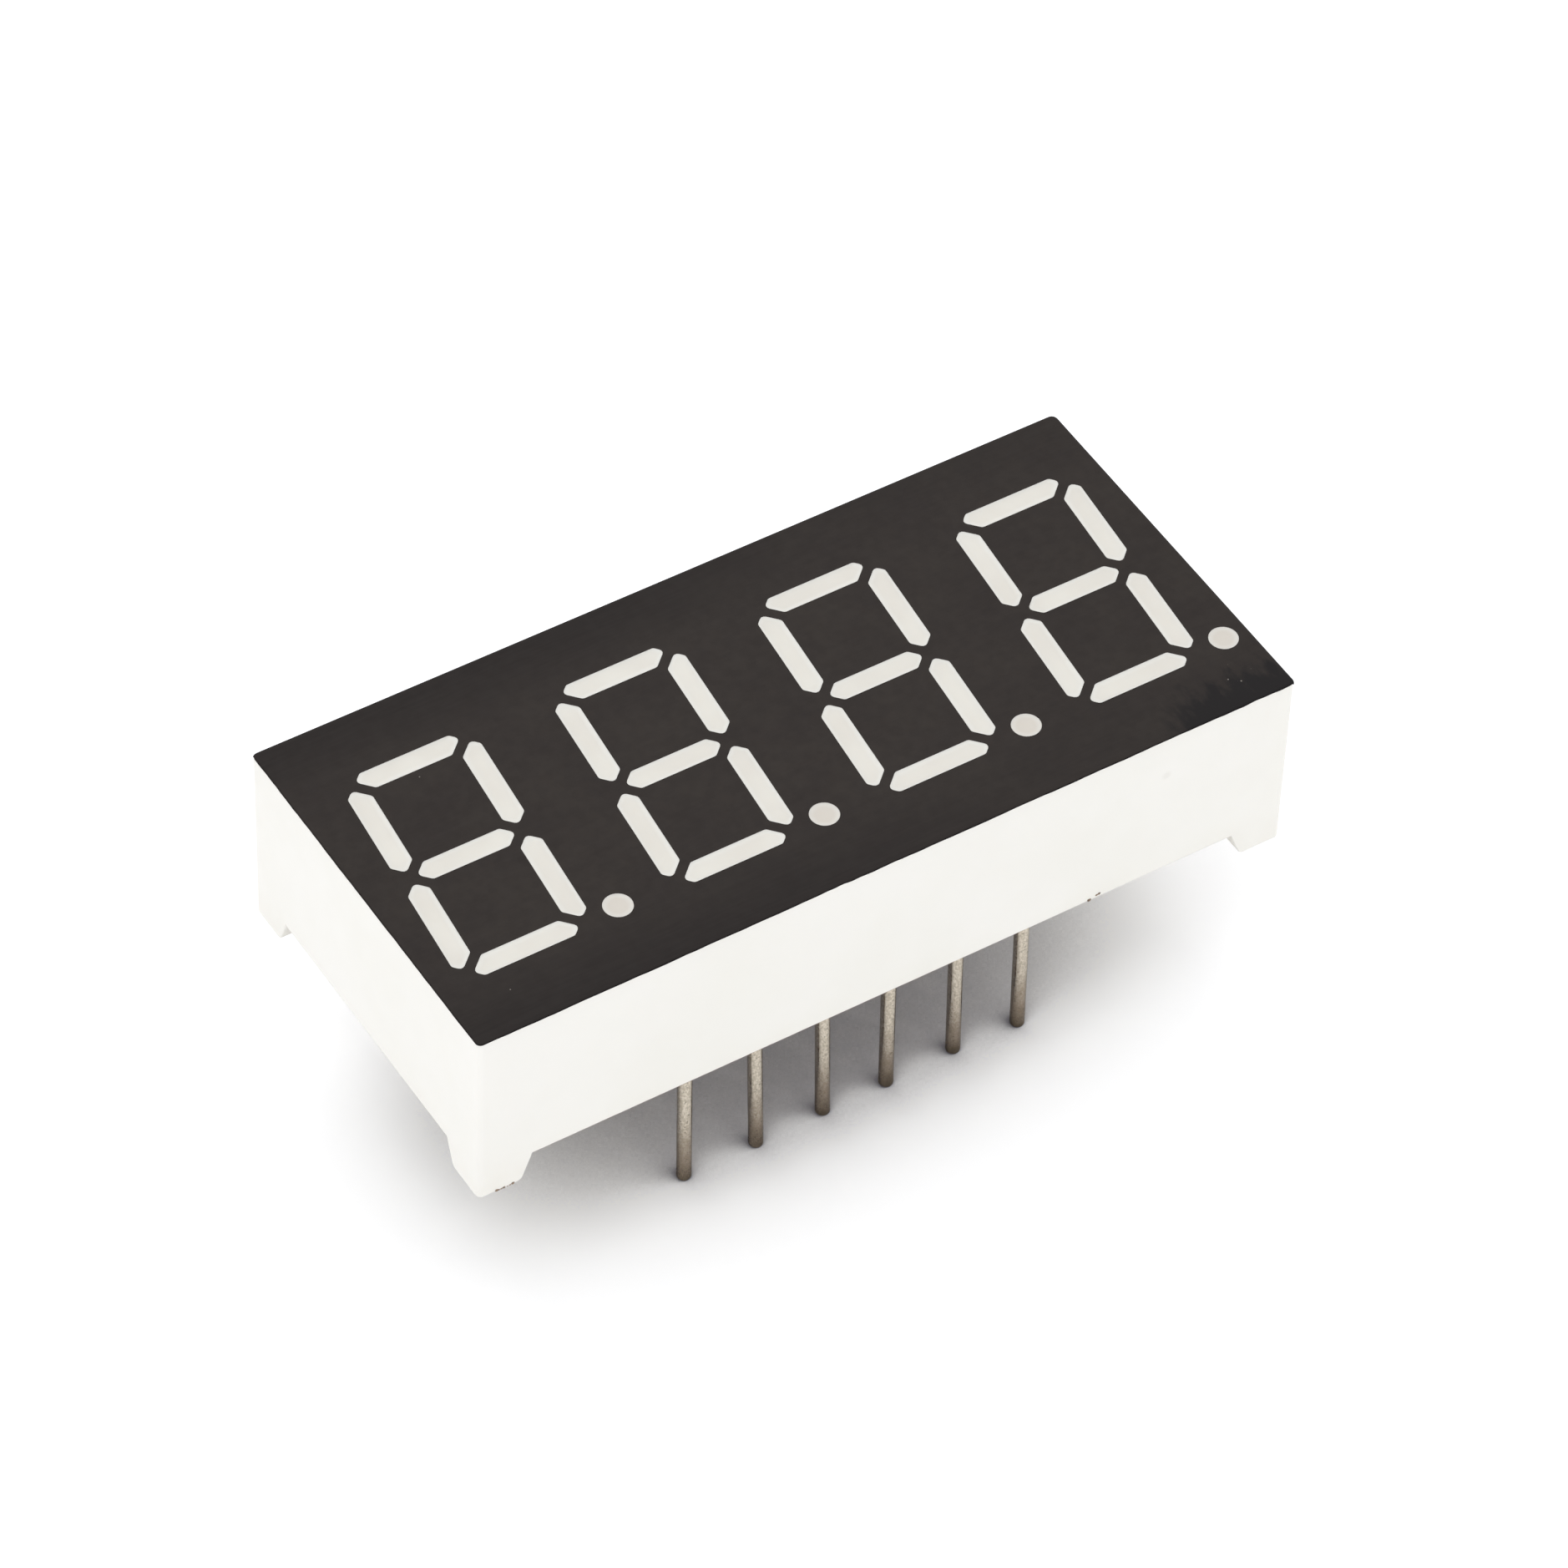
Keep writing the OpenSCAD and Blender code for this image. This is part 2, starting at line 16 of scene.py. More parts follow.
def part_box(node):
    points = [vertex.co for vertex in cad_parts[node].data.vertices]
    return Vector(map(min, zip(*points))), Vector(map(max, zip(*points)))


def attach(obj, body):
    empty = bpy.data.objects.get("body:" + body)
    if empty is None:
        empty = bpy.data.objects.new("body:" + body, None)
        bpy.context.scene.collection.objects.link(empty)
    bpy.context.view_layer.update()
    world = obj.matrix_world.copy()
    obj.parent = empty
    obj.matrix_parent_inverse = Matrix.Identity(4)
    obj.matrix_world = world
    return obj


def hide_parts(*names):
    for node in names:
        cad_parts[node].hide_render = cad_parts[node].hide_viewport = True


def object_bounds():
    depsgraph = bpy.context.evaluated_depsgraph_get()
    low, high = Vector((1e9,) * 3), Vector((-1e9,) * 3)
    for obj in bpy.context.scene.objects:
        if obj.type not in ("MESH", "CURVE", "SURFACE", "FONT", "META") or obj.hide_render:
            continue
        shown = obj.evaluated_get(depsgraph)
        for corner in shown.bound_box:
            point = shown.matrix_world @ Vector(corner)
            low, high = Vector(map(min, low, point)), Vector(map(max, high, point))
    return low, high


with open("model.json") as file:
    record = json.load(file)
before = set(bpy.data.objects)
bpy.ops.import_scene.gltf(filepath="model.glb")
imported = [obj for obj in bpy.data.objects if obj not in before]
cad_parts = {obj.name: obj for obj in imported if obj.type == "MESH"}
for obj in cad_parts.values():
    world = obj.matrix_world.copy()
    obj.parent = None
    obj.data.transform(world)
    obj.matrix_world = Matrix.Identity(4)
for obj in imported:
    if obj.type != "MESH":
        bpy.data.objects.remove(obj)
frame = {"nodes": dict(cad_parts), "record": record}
cad_box = [list(corner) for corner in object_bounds()]
MM = 0.001
print("box in mm:", [[round(value / MM, 2) for value in corner] for corner in cad_box])

# %% [markdown]
# ## Camera
# A long lens keeps the box nearly free of perspective, as in a catalogue picture of a small part.
# A camera can be placed by hand, but azimuth, elevation and roll round an aim point say plainly
# where it stands. The aim point lies on the face, near its middle.

# %% The camera
LENS = 179.94
AZIMUTH = math.radians(-33.614)
ELEVATION = math.radians(47.267)
ROLL = math.radians(2.337)
DISTANCE = 244.64 * MM
AIM = Vector((-1.293 * MM, -2.490 * MM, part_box("face_ink")[1][2]))


def place_camera():
    """A camera that looks at AIM from the stated direction."""
    flat = math.cos(ELEVATION)
    back = Vector((math.sin(AZIMUTH) * flat, -math.cos(AZIMUTH) * flat, math.sin(ELEVATION)))
    level = Vector((math.cos(AZIMUTH), math.sin(AZIMUTH), 0))
    right = level * math.cos(ROLL) + back.cross(level) * math.sin(ROLL)
    up = back.cross(right)
    data = bpy.data.cameras.new("camera")
    data.lens = LENS
    data.sensor_width = 36
    data.clip_start = 0.01
    data.clip_end = 10
    camera = bpy.data.objects.new("camera", data)
    turned = Matrix((right, up, back)).transposed().to_4x4()
    camera.matrix_world = Matrix.Translation(AIM + back * DISTANCE) @ turned
    bpy.context.scene.collection.objects.link(camera)
    bpy.context.scene.camera = camera
    return camera


print("camera at", [round(value / MM) for value in place_camera().location])

# %% [markdown]
# ## Helpers for nodes
# Both finishes and Geometry Nodes are trees of nodes. One small function adds a node, sets its
# properties and fills its inputs, either with a value or with another node's output, so that a
# tree reads as a list of steps.


# %% Node helpers
def add_node(tree, kind, inputs=None, **settings):
    """Adds a node. inputs fills sockets by name or number with a value or an output socket."""
    made = tree.nodes.new(kind)
    for name, value in settings.items():
        setattr(made, name, value)
    for key, value in (inputs or {}).items():
        if isinstance(value, bpy.types.NodeSocket):
            tree.links.new(value, made.inputs[key])
        else:
            made.inputs[key].default_value = value
    return made


def calc(tree, operation, a, b=0.0, c=0.0):
    """The result of one Math node."""
    return add_node(tree, "ShaderNodeMath", {0: a, 1: b, 2: c}, operation=operation).outputs[0]


def smooth(tree, value, low, high, bottom=0.0, top=1.0):
    """A soft step of value, from bottom at low to top at high."""
    inputs = {"Value": value, "From Min": low, "From Max": high, "To Min": bottom, "To Max": top}
    made = add_node(tree, "ShaderNodeMapRange", inputs, interpolation_type="SMOOTHSTEP")
    return made.outputs["Result"]


def mix_colour(tree, factor, a, b):
    """Colour a where factor is 0 and b where it is 1."""
    made = add_node(tree, "ShaderNodeMix", data_type="RGBA")
    for index, value in ((0, factor), (6, a), (7, b)):
        if isinstance(value, bpy.types.NodeSocket):
            tree.links.new(value, made.inputs[index])
        else:
            made.inputs[index].default_value = value
    return made.outputs[2]


def rgb(red, green, blue):
    """A colour as a screen shows it, from 0 to 255, in the linear values that shaders take."""
    shown = (red / 255, green / 255, blue / 255)
    return (*[v / 12.92 if v <= 0.04045 else ((v + 0.055) / 1.055) ** 2.4 for v in shown], 1.0)


def new_finish(name):
    """A material, its tree, its shader, and the Object coordinates in millimetres."""
    material = bpy.data.materials.new(name)
    material.use_nodes = True
    tree = material.node_tree
    place = add_node(tree, "ShaderNodeTexCoord").outputs["Object"]
    in_mm = add_node(tree, "ShaderNodeVectorMath", {0: place, "Scale": 1 / MM}, operation="SCALE")
    return material, tree, tree.nodes["Principled BSDF"], in_mm.outputs[0]


def noise_at(tree, place, scale, detail=3.0, stretch=None):
    """Noise from 0 to 1; scale is in patches a millimetre, stretch squeezes it along an axis."""
    if stretch:
        squeezed = add_node(tree, "ShaderNodeVectorMath", {0: place, 1: stretch}, operation="MULTIPLY")
        place = squeezed.outputs[0]
    inputs = {"Vector": place, "Scale": scale, "Detail": detail}
    return add_node(tree, "ShaderNodeTexNoise", inputs).outputs["Fac"]


def bump_from(tree, shader, height, depth_mm, strength=1.0):
    """Feeds a height from 0 to 1 into the shader's normal, depth_mm deep."""
    inputs = {"Height": height, "Distance": depth_mm * MM, "Strength": strength}
    tree.links.new(add_node(tree, "ShaderNodeBump", inputs).outputs["Normal"], shader.inputs["Normal"])


def set_shader(tree, shader, **values):
    """Sets the shader's sockets; an underscore in a name stands for a space."""
    for name, value in values.items():
        socket = shader.inputs[name.replace("_", " ")]
        if isinstance(value, bpy.types.NodeSocket):
            tree.links.new(value, socket)
        else:
            socket.default_value = value


print("node helpers ready")

# %% [markdown]
# ## Meshes that start from the CAD nodes
# A CAD node arrives as loose triangles. Its shape is right, so a piece that only needs softer
# edges starts from a copy: the triangles are joined and the flat faces made whole, which leaves
# clean edges to bevel.


# %% Copies of CAD nodes
JOIN_WITHIN = 0.0005 * MM
CLOSE = 0.0001 * MM  # for heights that should be equal
FLAT = math.radians(0.3)


def merged_copy(node):
    """A CAD node's mesh as a bmesh, joined, with each flat face whole."""
    made = bmesh.new()
    made.from_mesh(frame["nodes"][node].data)
    bmesh.ops.remove_doubles(made, verts=made.verts, dist=JOIN_WITHIN)
    bmesh.ops.dissolve_limit(made, angle_limit=FLAT, verts=made.verts, edges=made.edges)
    return made


def new_piece(name, made, material, slot, *nodes, smooth_angle=35):
    """Makes an object of a bmesh or a mesh, which stands for the named CAD nodes."""
    if isinstance(made, bmesh.types.BMesh):
        mesh = bpy.data.meshes.new(name)
        made.to_mesh(mesh)
        made.free()
    else:
        mesh = made
    mesh.name = name
    mesh.materials.clear()
    mesh.materials.append(material)
    mesh.shade_smooth()
    mesh.set_sharp_from_angle(angle=math.radians(smooth_angle))
    piece = bpy.data.objects.new(name, mesh)
    bpy.context.scene.collection.objects.link(piece)
    piece.modifiers.new("flat faces stay flat", "WEIGHTED_NORMAL").keep_sharp = True
    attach(piece, "root")
    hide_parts(*nodes)
    triangles = sum(len(face.vertices) - 2 for face in mesh.polygons)
    print(name, "stands for", len(nodes), "node(s),", triangles, "triangles")
    return piece


HOUSING_LOW, HOUSING_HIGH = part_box("housing")
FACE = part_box("face_ink")[1].z
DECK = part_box("face_ink")[0].z
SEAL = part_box("back_seal")[0].z
SEAL_IN = 0.1 * MM
RIM = SEAL - SEAL_IN
print("face, deck, seal and rim at", [round(z / MM, 3) for z in (FACE, DECK, SEAL, RIM)])

# %% [markdown]
# ## White plastic
# The housing is moulded in bright white plastic, so that it reflects the light of the chips. The
# finish is nearly one colour. What makes it look moulded is a faint cloudiness, a fine skin, a
# little light that passes under the surface, and a warmer tone low down, where it is handled.
# Painted shade makes a brown line on the bottom edge; the faces of that edge are marked, so that
# the finish finds it.
# One faint rub mark sits on the front wall.


# %% The white plastic
RUB_MARK = (10.2, HOUSING_LOW.y / MM, 11.7)


def moulded_white():
    """White plastic with a fine skin, warmer low down, with painted shade on the bottom edge."""
    material, tree, shader, place = new_finish("moulded_white")
    clouds = smooth(tree, noise_at(tree, place, 0.22), 0.3, 0.7)
    clean = mix_colour(tree, clouds, rgb(250, 248, 243), rgb(247, 245, 239))
    parts = add_node(tree, "ShaderNodeSeparateXYZ", {0: place}).outputs
    handled = calc(tree, "MULTIPLY", smooth(tree, parts["Z"], 8.4, 6.2), noise_at(tree, place, 1.1))
    colour = mix_colour(tree, calc(tree, "MULTIPLY", handled, 0.3), clean, rgb(228, 222, 210))
    # painted shade: a brown line on the bottom edge, stronger at the left
    edge = add_node(tree, "ShaderNodeAttribute", attribute_name="bottom_edge").outputs["Fac"]
    painted_bottom_shade = calc(tree, "MULTIPLY", edge, smooth(tree, noise_at(tree, place, 2.6), 0.3, 0.7, 0.55, 1.0))
    painted_bottom_shade = calc(tree, "MULTIPLY", painted_bottom_shade, smooth(tree, parts["X"], 6.0, -1.0, 0.3, 1.0))
    colour = mix_colour(tree, painted_bottom_shade, colour, rgb(112, 74, 64))
    rubbed = add_node(tree, "ShaderNodeVectorMath", {0: place, 1: RUB_MARK}, operation="DISTANCE")
    rubbed = smooth(tree, rubbed.outputs["Value"], 0.22, 0.07, 0.0, 0.13)
    colour = mix_colour(tree, rubbed, colour, rgb(190, 186, 180))
    skin = noise_at(tree, place, 11, 4)
    gloss = smooth(tree, noise_at(tree, place, 1.6), 0.3, 0.7, 0.4, 0.52)
    set_shader(tree, shader, Base_Color=colour, Roughness=gloss)
    set_shader(tree, shader, Subsurface_Weight=0.15, Subsurface_Scale=0.5 * MM)
    set_shader(tree, shader, Subsurface_Radius=(1.0, 0.95, 0.9))
    bump_from(tree, shader, skin, 0.004, 0.5)
    return material


WHITE = moulded_white()
print("finish:", WHITE.name)

# %% [markdown]
# ## The housing
# A mould leaves no edge truly sharp. The deck's rim has a small round, over which the print wraps,
# and the rim and feet below are rounded too. A bevel on the right edges of a merged copy gives
# that. Edges inside the cavity and round the windows are left as they are, since others fill them.

# %% The housing's edges
EDGE_ROUND = 0.05 * MM
RIM_ROUND = 0.04 * MM
STEEP = math.radians(40)
ABOUT = 0.01 * MM  # for picking edges by their height
WALL_BAND = 0.25 * MM


def round_edges(made, chosen, radius):
    """Rounds the chosen edges where two faces meet at a steep angle; gives the new faces."""
    steep = [e for e in made.edges if len(e.link_faces) == 2 and e.calc_face_angle() > STEEP]
    picked = [edge for edge in steep if all(chosen(vertex.co) for vertex in edge.verts)]
    rounded = bmesh.ops.bevel(
        made, geom=picked, offset=radius, segments=4, profile=0.5, affect="EDGES", clamp_overlap=True
    )
    print("rounded", len(picked), "edges")
    return rounded["faces"]


def on_outer_wall(place):
    """True within a narrow band along the four outer walls."""
    return min(HOUSING_HIGH.x - abs(place.x), HOUSING_HIGH.y - abs(place.y)) < WALL_BAND


housing = merged_copy("housing")
bottom_edge = housing.faces.layers.float.new("bottom_edge")
round_edges(housing, lambda place: place.z > DECK - ABOUT and on_outer_wall(place), EDGE_ROUND)
for face in round_edges(housing, lambda place: place.z < RIM + ABOUT, RIM_ROUND):
    on_rim = all(vertex.co.z > RIM - ABOUT for vertex in face.verts)
    face[bottom_edge] = 1.0 if on_rim else 0.0
new_piece("housing_shell", housing, WHITE, "housing_plastic", "housing")

# %% [markdown]
# ## Black print
# The face is printed with matte black ink. On the real one it is a warm near-black with a weak
# sheen, mottled, with very faint streaks along the stroke of the squeegee. Painted shade makes it
# darker along its two long edges, more so at the left, and where it turns over the edge. The front
# right corner is smeared nearly black, up to a ragged limit, and dusty. Dust comes from a cell
# pattern: a point counts as dust when it lies close to a cell's centre and that cell's random number
# is high.


# %% The black print
DUSTY = (13.8, -5.8, FACE / MM)


def dust(tree, place, cells_per_mm, least, radius_mm):
    """1 on specks of dust, in the cells whose random number is over least."""
    inputs = {"Vector": place, "Scale": cells_per_mm}
    cells = add_node(tree, "ShaderNodeTexVoronoi", inputs).outputs
    far = radius_mm * cells_per_mm
    speck = smooth(tree, cells["Distance"], far, far / 2)
    return calc(tree, "MULTIPLY", speck, calc(tree, "GREATER_THAN", cells["Color"], least))


def black_ink():
    """Matte near-black ink with cloudy sheen, smears and dust."""
    material, tree, shader, place = new_finish("black_ink")
    clouds = smooth(tree, noise_at(tree, place, 0.5, 5), 0.3, 0.7)
    colour = mix_colour(tree, clouds, rgb(47, 42, 40), rgb(51, 46, 43))
    parts = add_node(tree, "ShaderNodeSeparateXYZ", {0: place}).outputs
    # painted shade: darker along the two long edges, more so at the left
    painted_edge_shade = smooth(tree, calc(tree, "ABSOLUTE", parts["Y"]), 4.0, 6.8, 0.0, 0.9)
    painted_edge_shade = calc(tree, "MULTIPLY", painted_edge_shade, smooth(tree, parts["X"], -3.0, 6.0, 1.0, 0.35))
    colour = mix_colour(tree, painted_edge_shade, colour, rgb(37, 33, 32))
    mottled = smooth(tree, noise_at(tree, place, 2.4, 4), 0.35, 0.65, 0.0, 0.3)
    colour = mix_colour(tree, mottled, colour, rgb(40, 36, 35))
    streaks = smooth(tree, noise_at(tree, place, 9, 2, (0.06, 1.0, 1.0)), 0.35, 0.65, 0.0, 0.12)
    colour = mix_colour(tree, streaks, colour, rgb(54, 49, 46))
    ragged = calc(tree, "SUBTRACT", noise_at(tree, place, 2.9, 5, (1.0, 0.42, 1.0)), 0.5)
    ragged = calc(tree, "MULTIPLY", ragged, 3.5)
    smear = smooth(tree, calc(tree, "ADD", parts["X"], ragged), 10.2, 11.5)
    inner = smooth(tree, calc(tree, "ADD", parts["Y"], ragged), -5.3, -6.4)
    smear = calc(tree, "MULTIPLY", smear, inner)
    colour = mix_colour(tree, calc(tree, "MULTIPLY", smear, 0.95), colour, rgb(28, 26, 27))
    # painted shade: darker where the ink turns over the edge
    turned = smooth(tree, parts["Z"], FACE / MM - 0.004, FACE / MM - 0.03, 0.0, 0.9)
    colour = mix_colour(tree, turned, colour, rgb(20, 16, 17))
    corner = add_node(tree, "ShaderNodeVectorMath", {0: place, 1: DUSTY}, operation="DISTANCE")
    dusty = smooth(tree, corner.outputs["Value"], 1.0, 0.6)
    dusty = calc(tree, "MULTIPLY", dusty, dust(tree, place, 4.0, 0.62, 0.035))
    speck = calc(tree, "MAXIMUM", dust(tree, place, 1.1, 0.88, 0.04), dusty)
    colour = mix_colour(tree, calc(tree, "MULTIPLY", speck, 0.45), colour, rgb(190, 184, 174))
    sheen = smooth(tree, noise_at(tree, place, 2.3, 4), 0.3, 0.7, 0.5, 0.62)
    gloss = calc(tree, "SUBTRACT", sheen, calc(tree, "MULTIPLY", smear, 0.12))
    set_shader(tree, shader, Base_Color=colour, Roughness=gloss)
    set_shader(tree, shader, Specular_IOR_Level=0.1)
    bump_from(tree, shader, noise_at(tree, place, 14, 4), 0.003, 0.6)
    return material


INK = black_ink()
print("finish:", INK.name)

# %% [markdown]
# ## The printed face
# The ink lies on the deck and just turns over its edge, where it ends in a slightly ragged line.
# A sheet could be given thickness by a modifier, but then its edge would be straight. Here the
# sheet is built from rings: each ring is the deck's outline, carried further round the edge, and
# the last one is shifted by noise. The window walls come from the CAD node.

# %% The outline of the deck
CORNER = 0.2 * MM
INK_STEP = 0.15 * MM


def deck_outline():
    """Points with their outward direction round the deck, where the rounded edge begins."""
    radius = CORNER - EDGE_ROUND
    turned = []
    for side_x, side_y, start in ((1, 1, 0), (-1, 1, 90), (-1, -1, 180), (1, -1, 270)):
        x = side_x * (HOUSING_HIGH.x - CORNER)
        y = side_y * (HOUSING_HIGH.y - CORNER)
        for degrees in range(start, start + 91, 15):
            out = Vector((math.cos(math.radians(degrees)), math.sin(math.radians(degrees)), 0))
            turned.append((Vector((x, y, 0)) + out * radius, out))
    path = []
    for index, (place, out) in enumerate(turned):
        following = turned[(index + 1) % len(turned)][0]
        count = max(1, round((following - place).length / INK_STEP))
        path += [(place.lerp(following, part / count), out) for part in range(count)]
    return path


OUTLINE = deck_outline()
print("points round the deck:", len(OUTLINE))

# %% The printed sheet
INK_T = FACE - DECK
INK_END_T = 0.005 * MM
INK_OFF = 0.0005 * MM  # keeps the ink's underside off the plastic
INK_RINGS = 6
INK_STRIP = 0.06 * MM
INSIDE_WALLS = 0.3 * MM
# how far the ink runs over the edge, and by how much that varies
OVER_BACK, WAVE_BACK = 0.1 * MM, 0.01 * MM
OVER_FRONT, WAVE_FRONT = 0.036 * MM, 0.011 * MM
WORN_MORE = 2.2
WORN = (
    # middle and width in mm, along the front edge
    (-1.5, 1.5),
    (13.9, 0.8),
)


def over_the_edge(place, out, along, lift):
    """A place over the rounded edge: along it from the flat deck, and lifted off the plastic."""
    bend = min(along / EDGE_ROUND, math.pi / 2)
    below = max(0.0, along - EDGE_ROUND * math.pi / 2)
    reach = EDGE_ROUND + lift
    height = DECK - EDGE_ROUND + math.cos(bend) * reach - below
    return place + out * math.sin(bend) * reach + Vector((0, 0, height))


def ink_end(place, out):
    """How far the ink runs over the edge here: less at the front and left than behind."""
    wave = noise.noise(place / MM * 0.8) + 0.6 * noise.noise(place / MM * 3.1)
    if out.x > 0.5 or out.y > 0.5:
        return OVER_BACK + WAVE_BACK * wave
    worn = sum(math.exp(-(((place.x / MM - middle) / width) ** 2)) for middle, width in WORN)
    return OVER_FRONT + WAVE_FRONT * wave * (1 + (WORN_MORE * worn if out.y < -0.5 else 0.0))


def ink_lift(out, share):
    """Thickness of the ink at a share of its way; it stays thick longer at the right and back."""
    fade = share**4 if out.x > 0.5 or out.y > 0.5 else share**0.7
    return INK_T + (INK_END_T - INK_T) * fade


def ink_ring(made, share, on_top):
    """One ring of the sheet, at a share of the way over the edge, on top of the ink or under it."""
    ring = []
    for place, out in OUTLINE:
        lift = ink_lift(out, share) if on_top else INK_OFF * share
        ring.append(made.verts.new(over_the_edge(place, out, ink_end(place, out) * share, lift)))
    return ring


def flat_ring(made, height):
    """A ring just inside the outline, so that only a narrow strip shades as bent."""
    lift = Vector((0, 0, height))
    return [made.verts.new(place - out * INK_STRIP + lift) for place, out in OUTLINE]


def join_rings(made, first, second):
    """Quads between two rings of as many points."""
    for index in range(len(first)):
        after = (index + 1) % len(first)
        made.faces.new((first[index], second[index], second[after], first[after]))


def is_window_wall(face):
    """True for the upright faces that line the windows."""
    middle = face.calc_center_median()
    to_wall = min(HOUSING_HIGH.x - abs(middle.x), HOUSING_HIGH.y - abs(middle.y))
    return abs(face.normal.z) < 0.5 and to_wall > INSIDE_WALLS


def printed_sheet():
    """The ink as one closed sheet: top, ragged edge, underside and window walls."""
    made = merged_copy("face_ink")
    other = [face for face in made.faces if not is_window_wall(face)]
    bmesh.ops.delete(made, geom=other, context="FACES")
    shares = [number / INK_RINGS for number in range(INK_RINGS + 1)]
    rings = [flat_ring(made, FACE)] + [ink_ring(made, share, True) for share in shares]
    rings += [ink_ring(made, share, False) for share in reversed(shares)] + [flat_ring(made, DECK)]
    for first, second in zip(rings, rings[1:]):
        join_rings(made, first, second)
    for height in (FACE, DECK):
        rim = [e for e in made.edges if e.is_boundary and abs(e.verts[0].co.z - height) < CLOSE]
        bmesh.ops.triangle_fill(made, use_beauty=True, edges=rim)
    bmesh.ops.recalc_face_normals(made, faces=made.faces)
    print("open edges left:", sum(not edge.is_manifold for edge in made.edges))
    return made


new_piece("printed_face", printed_sheet(), INK, "face_ink", "face_ink")

# %% [markdown]
# ## Helpers for Geometry Nodes
# A Geometry Nodes tree is a rule for a shape. These helpers make a tree with named inputs, end it
# with real geometry and its material, and run it once: the result is kept as a plain mesh.


# %% Geometry Nodes helpers
def new_tree(name, **sizes):
    """A tree with Geometry, the named sizes and a Material as inputs, and its input sockets."""
    tree = bpy.data.node_groups.new(name, "GeometryNodeTree")
    kinds = [("Geometry", "NodeSocketGeometry")]
    for size, value in sizes.items():
        kind = "NodeSocketInt" if isinstance(value, int) else "NodeSocketFloat"
        kinds.append((size.replace("_", " "), kind))
    kinds.append(("Material", "NodeSocketMaterial"))
    for label, kind in kinds:
        tree.interface.new_socket(label, in_out="INPUT", socket_type=kind)
    tree.interface.new_socket("Geometry", in_out="OUTPUT", socket_type="NodeSocketGeometry")
    return tree, tree.nodes.new("NodeGroupInput").outputs


def step(tree, kind, inputs=None, **settings):
    """Adds a node and gives its first output."""
    return add_node(tree, kind, inputs, **settings).outputs[0]


def end_tree(tree, geometry, material):
    """Ends a tree with real geometry that carries its material."""
    real = step(tree, "GeometryNodeRealizeInstances", {"Geometry": geometry})
    done = step(tree, "GeometryNodeSetMaterial", {"Geometry": real, "Material": material})
    add_node(tree, "NodeGroupOutput", {"Geometry": done})


def run_tree(tree, start, material, **sizes):
    """Runs a tree on a mesh and gives the result as a plain mesh."""
    holder = bpy.data.objects.new("start", start)
    bpy.context.scene.collection.objects.link(holder)
    modifier = holder.modifiers.new("tree", "NODES")
    modifier.node_group = tree
    values = {size.replace("_", " "): value for size, value in sizes.items()}
    values["Material"] = material
    for socket in tree.interface.items_tree:
        if socket.name in values:
            modifier[socket.identifier] = values[socket.name]
    seen = holder.evaluated_get(bpy.context.evaluated_depsgraph_get())
    mesh = bpy.data.meshes.new_from_object(seen)
    holder.modifiers.remove(modifier)
    bpy.data.objects.remove(holder)
    print(tree.name, "gave", len(mesh.polygons), "faces")
    return mesh


print("Geometry Nodes helpers ready")

# %% [markdown]
# ## Milky resin
# The bars and points are cast in resin that is filled with a white diffuser, so that a chip lights
# its whole bar. It is a warm pale grey with light that spreads inside. Where it creeps up at the
# window's edge the layer over the white wall is thin, so that the rim looks lighter.


# %% The milky resin
def milky_resin():
    """Resin with a diffuser: pale, a little cloudy, lighter in a narrow rim."""
    material, tree, shader, place = new_finish("milky_resin")
    clouds = smooth(tree, noise_at(tree, place, 0.45, 3), 0.3, 0.7)
    colour = mix_colour(tree, clouds, rgb(222, 219, 211), rgb(217, 213, 205))
    rim = add_node(tree, "ShaderNodeAttribute", attribute_name="rim").outputs["Fac"]
    dot = add_node(tree, "ShaderNodeAttribute", attribute_name="dot").outputs["Fac"]
    colour = mix_colour(tree, dot, colour, rgb(208, 202, 193))
    wetted = calc(tree, "MULTIPLY", smooth(tree, rim, 0.55, 1.0), smooth(tree, dot, 0, 1, 1.0, 0.55))
    colour = mix_colour(tree, wetted, colour, rgb(230, 228, 221))
    gloss = smooth(tree, noise_at(tree, place, 2.0), 0.3, 0.7, 0.33, 0.45)
    set_shader(tree, shader, Base_Color=colour, Roughness=gloss)
    set_shader(tree, shader, Subsurface_Weight=0.3, Subsurface_Scale=0.5 * MM)
    set_shader(tree, shader, Subsurface_Radius=(1.0, 0.92, 0.82))
    bump_from(tree, shader, noise_at(tree, place, 5, 3), 0.003, 0.4)
    return material


RESIN = milky_resin()
print("finish:", RESIN.name)

# %% [markdown]
# ## The resin in the windows
# Liquid resin wets the window's wall, stays high there and sinks in the middle as it cures. Each
# window's flat top becomes a shallow dish. A Repeat Zone does it: every round extrudes the top
# once more, draws it towards the bar's own centre line and lowers it. For that, each point of a
# window first needs to know the nearest point of the centre line, which is stored as "spine".


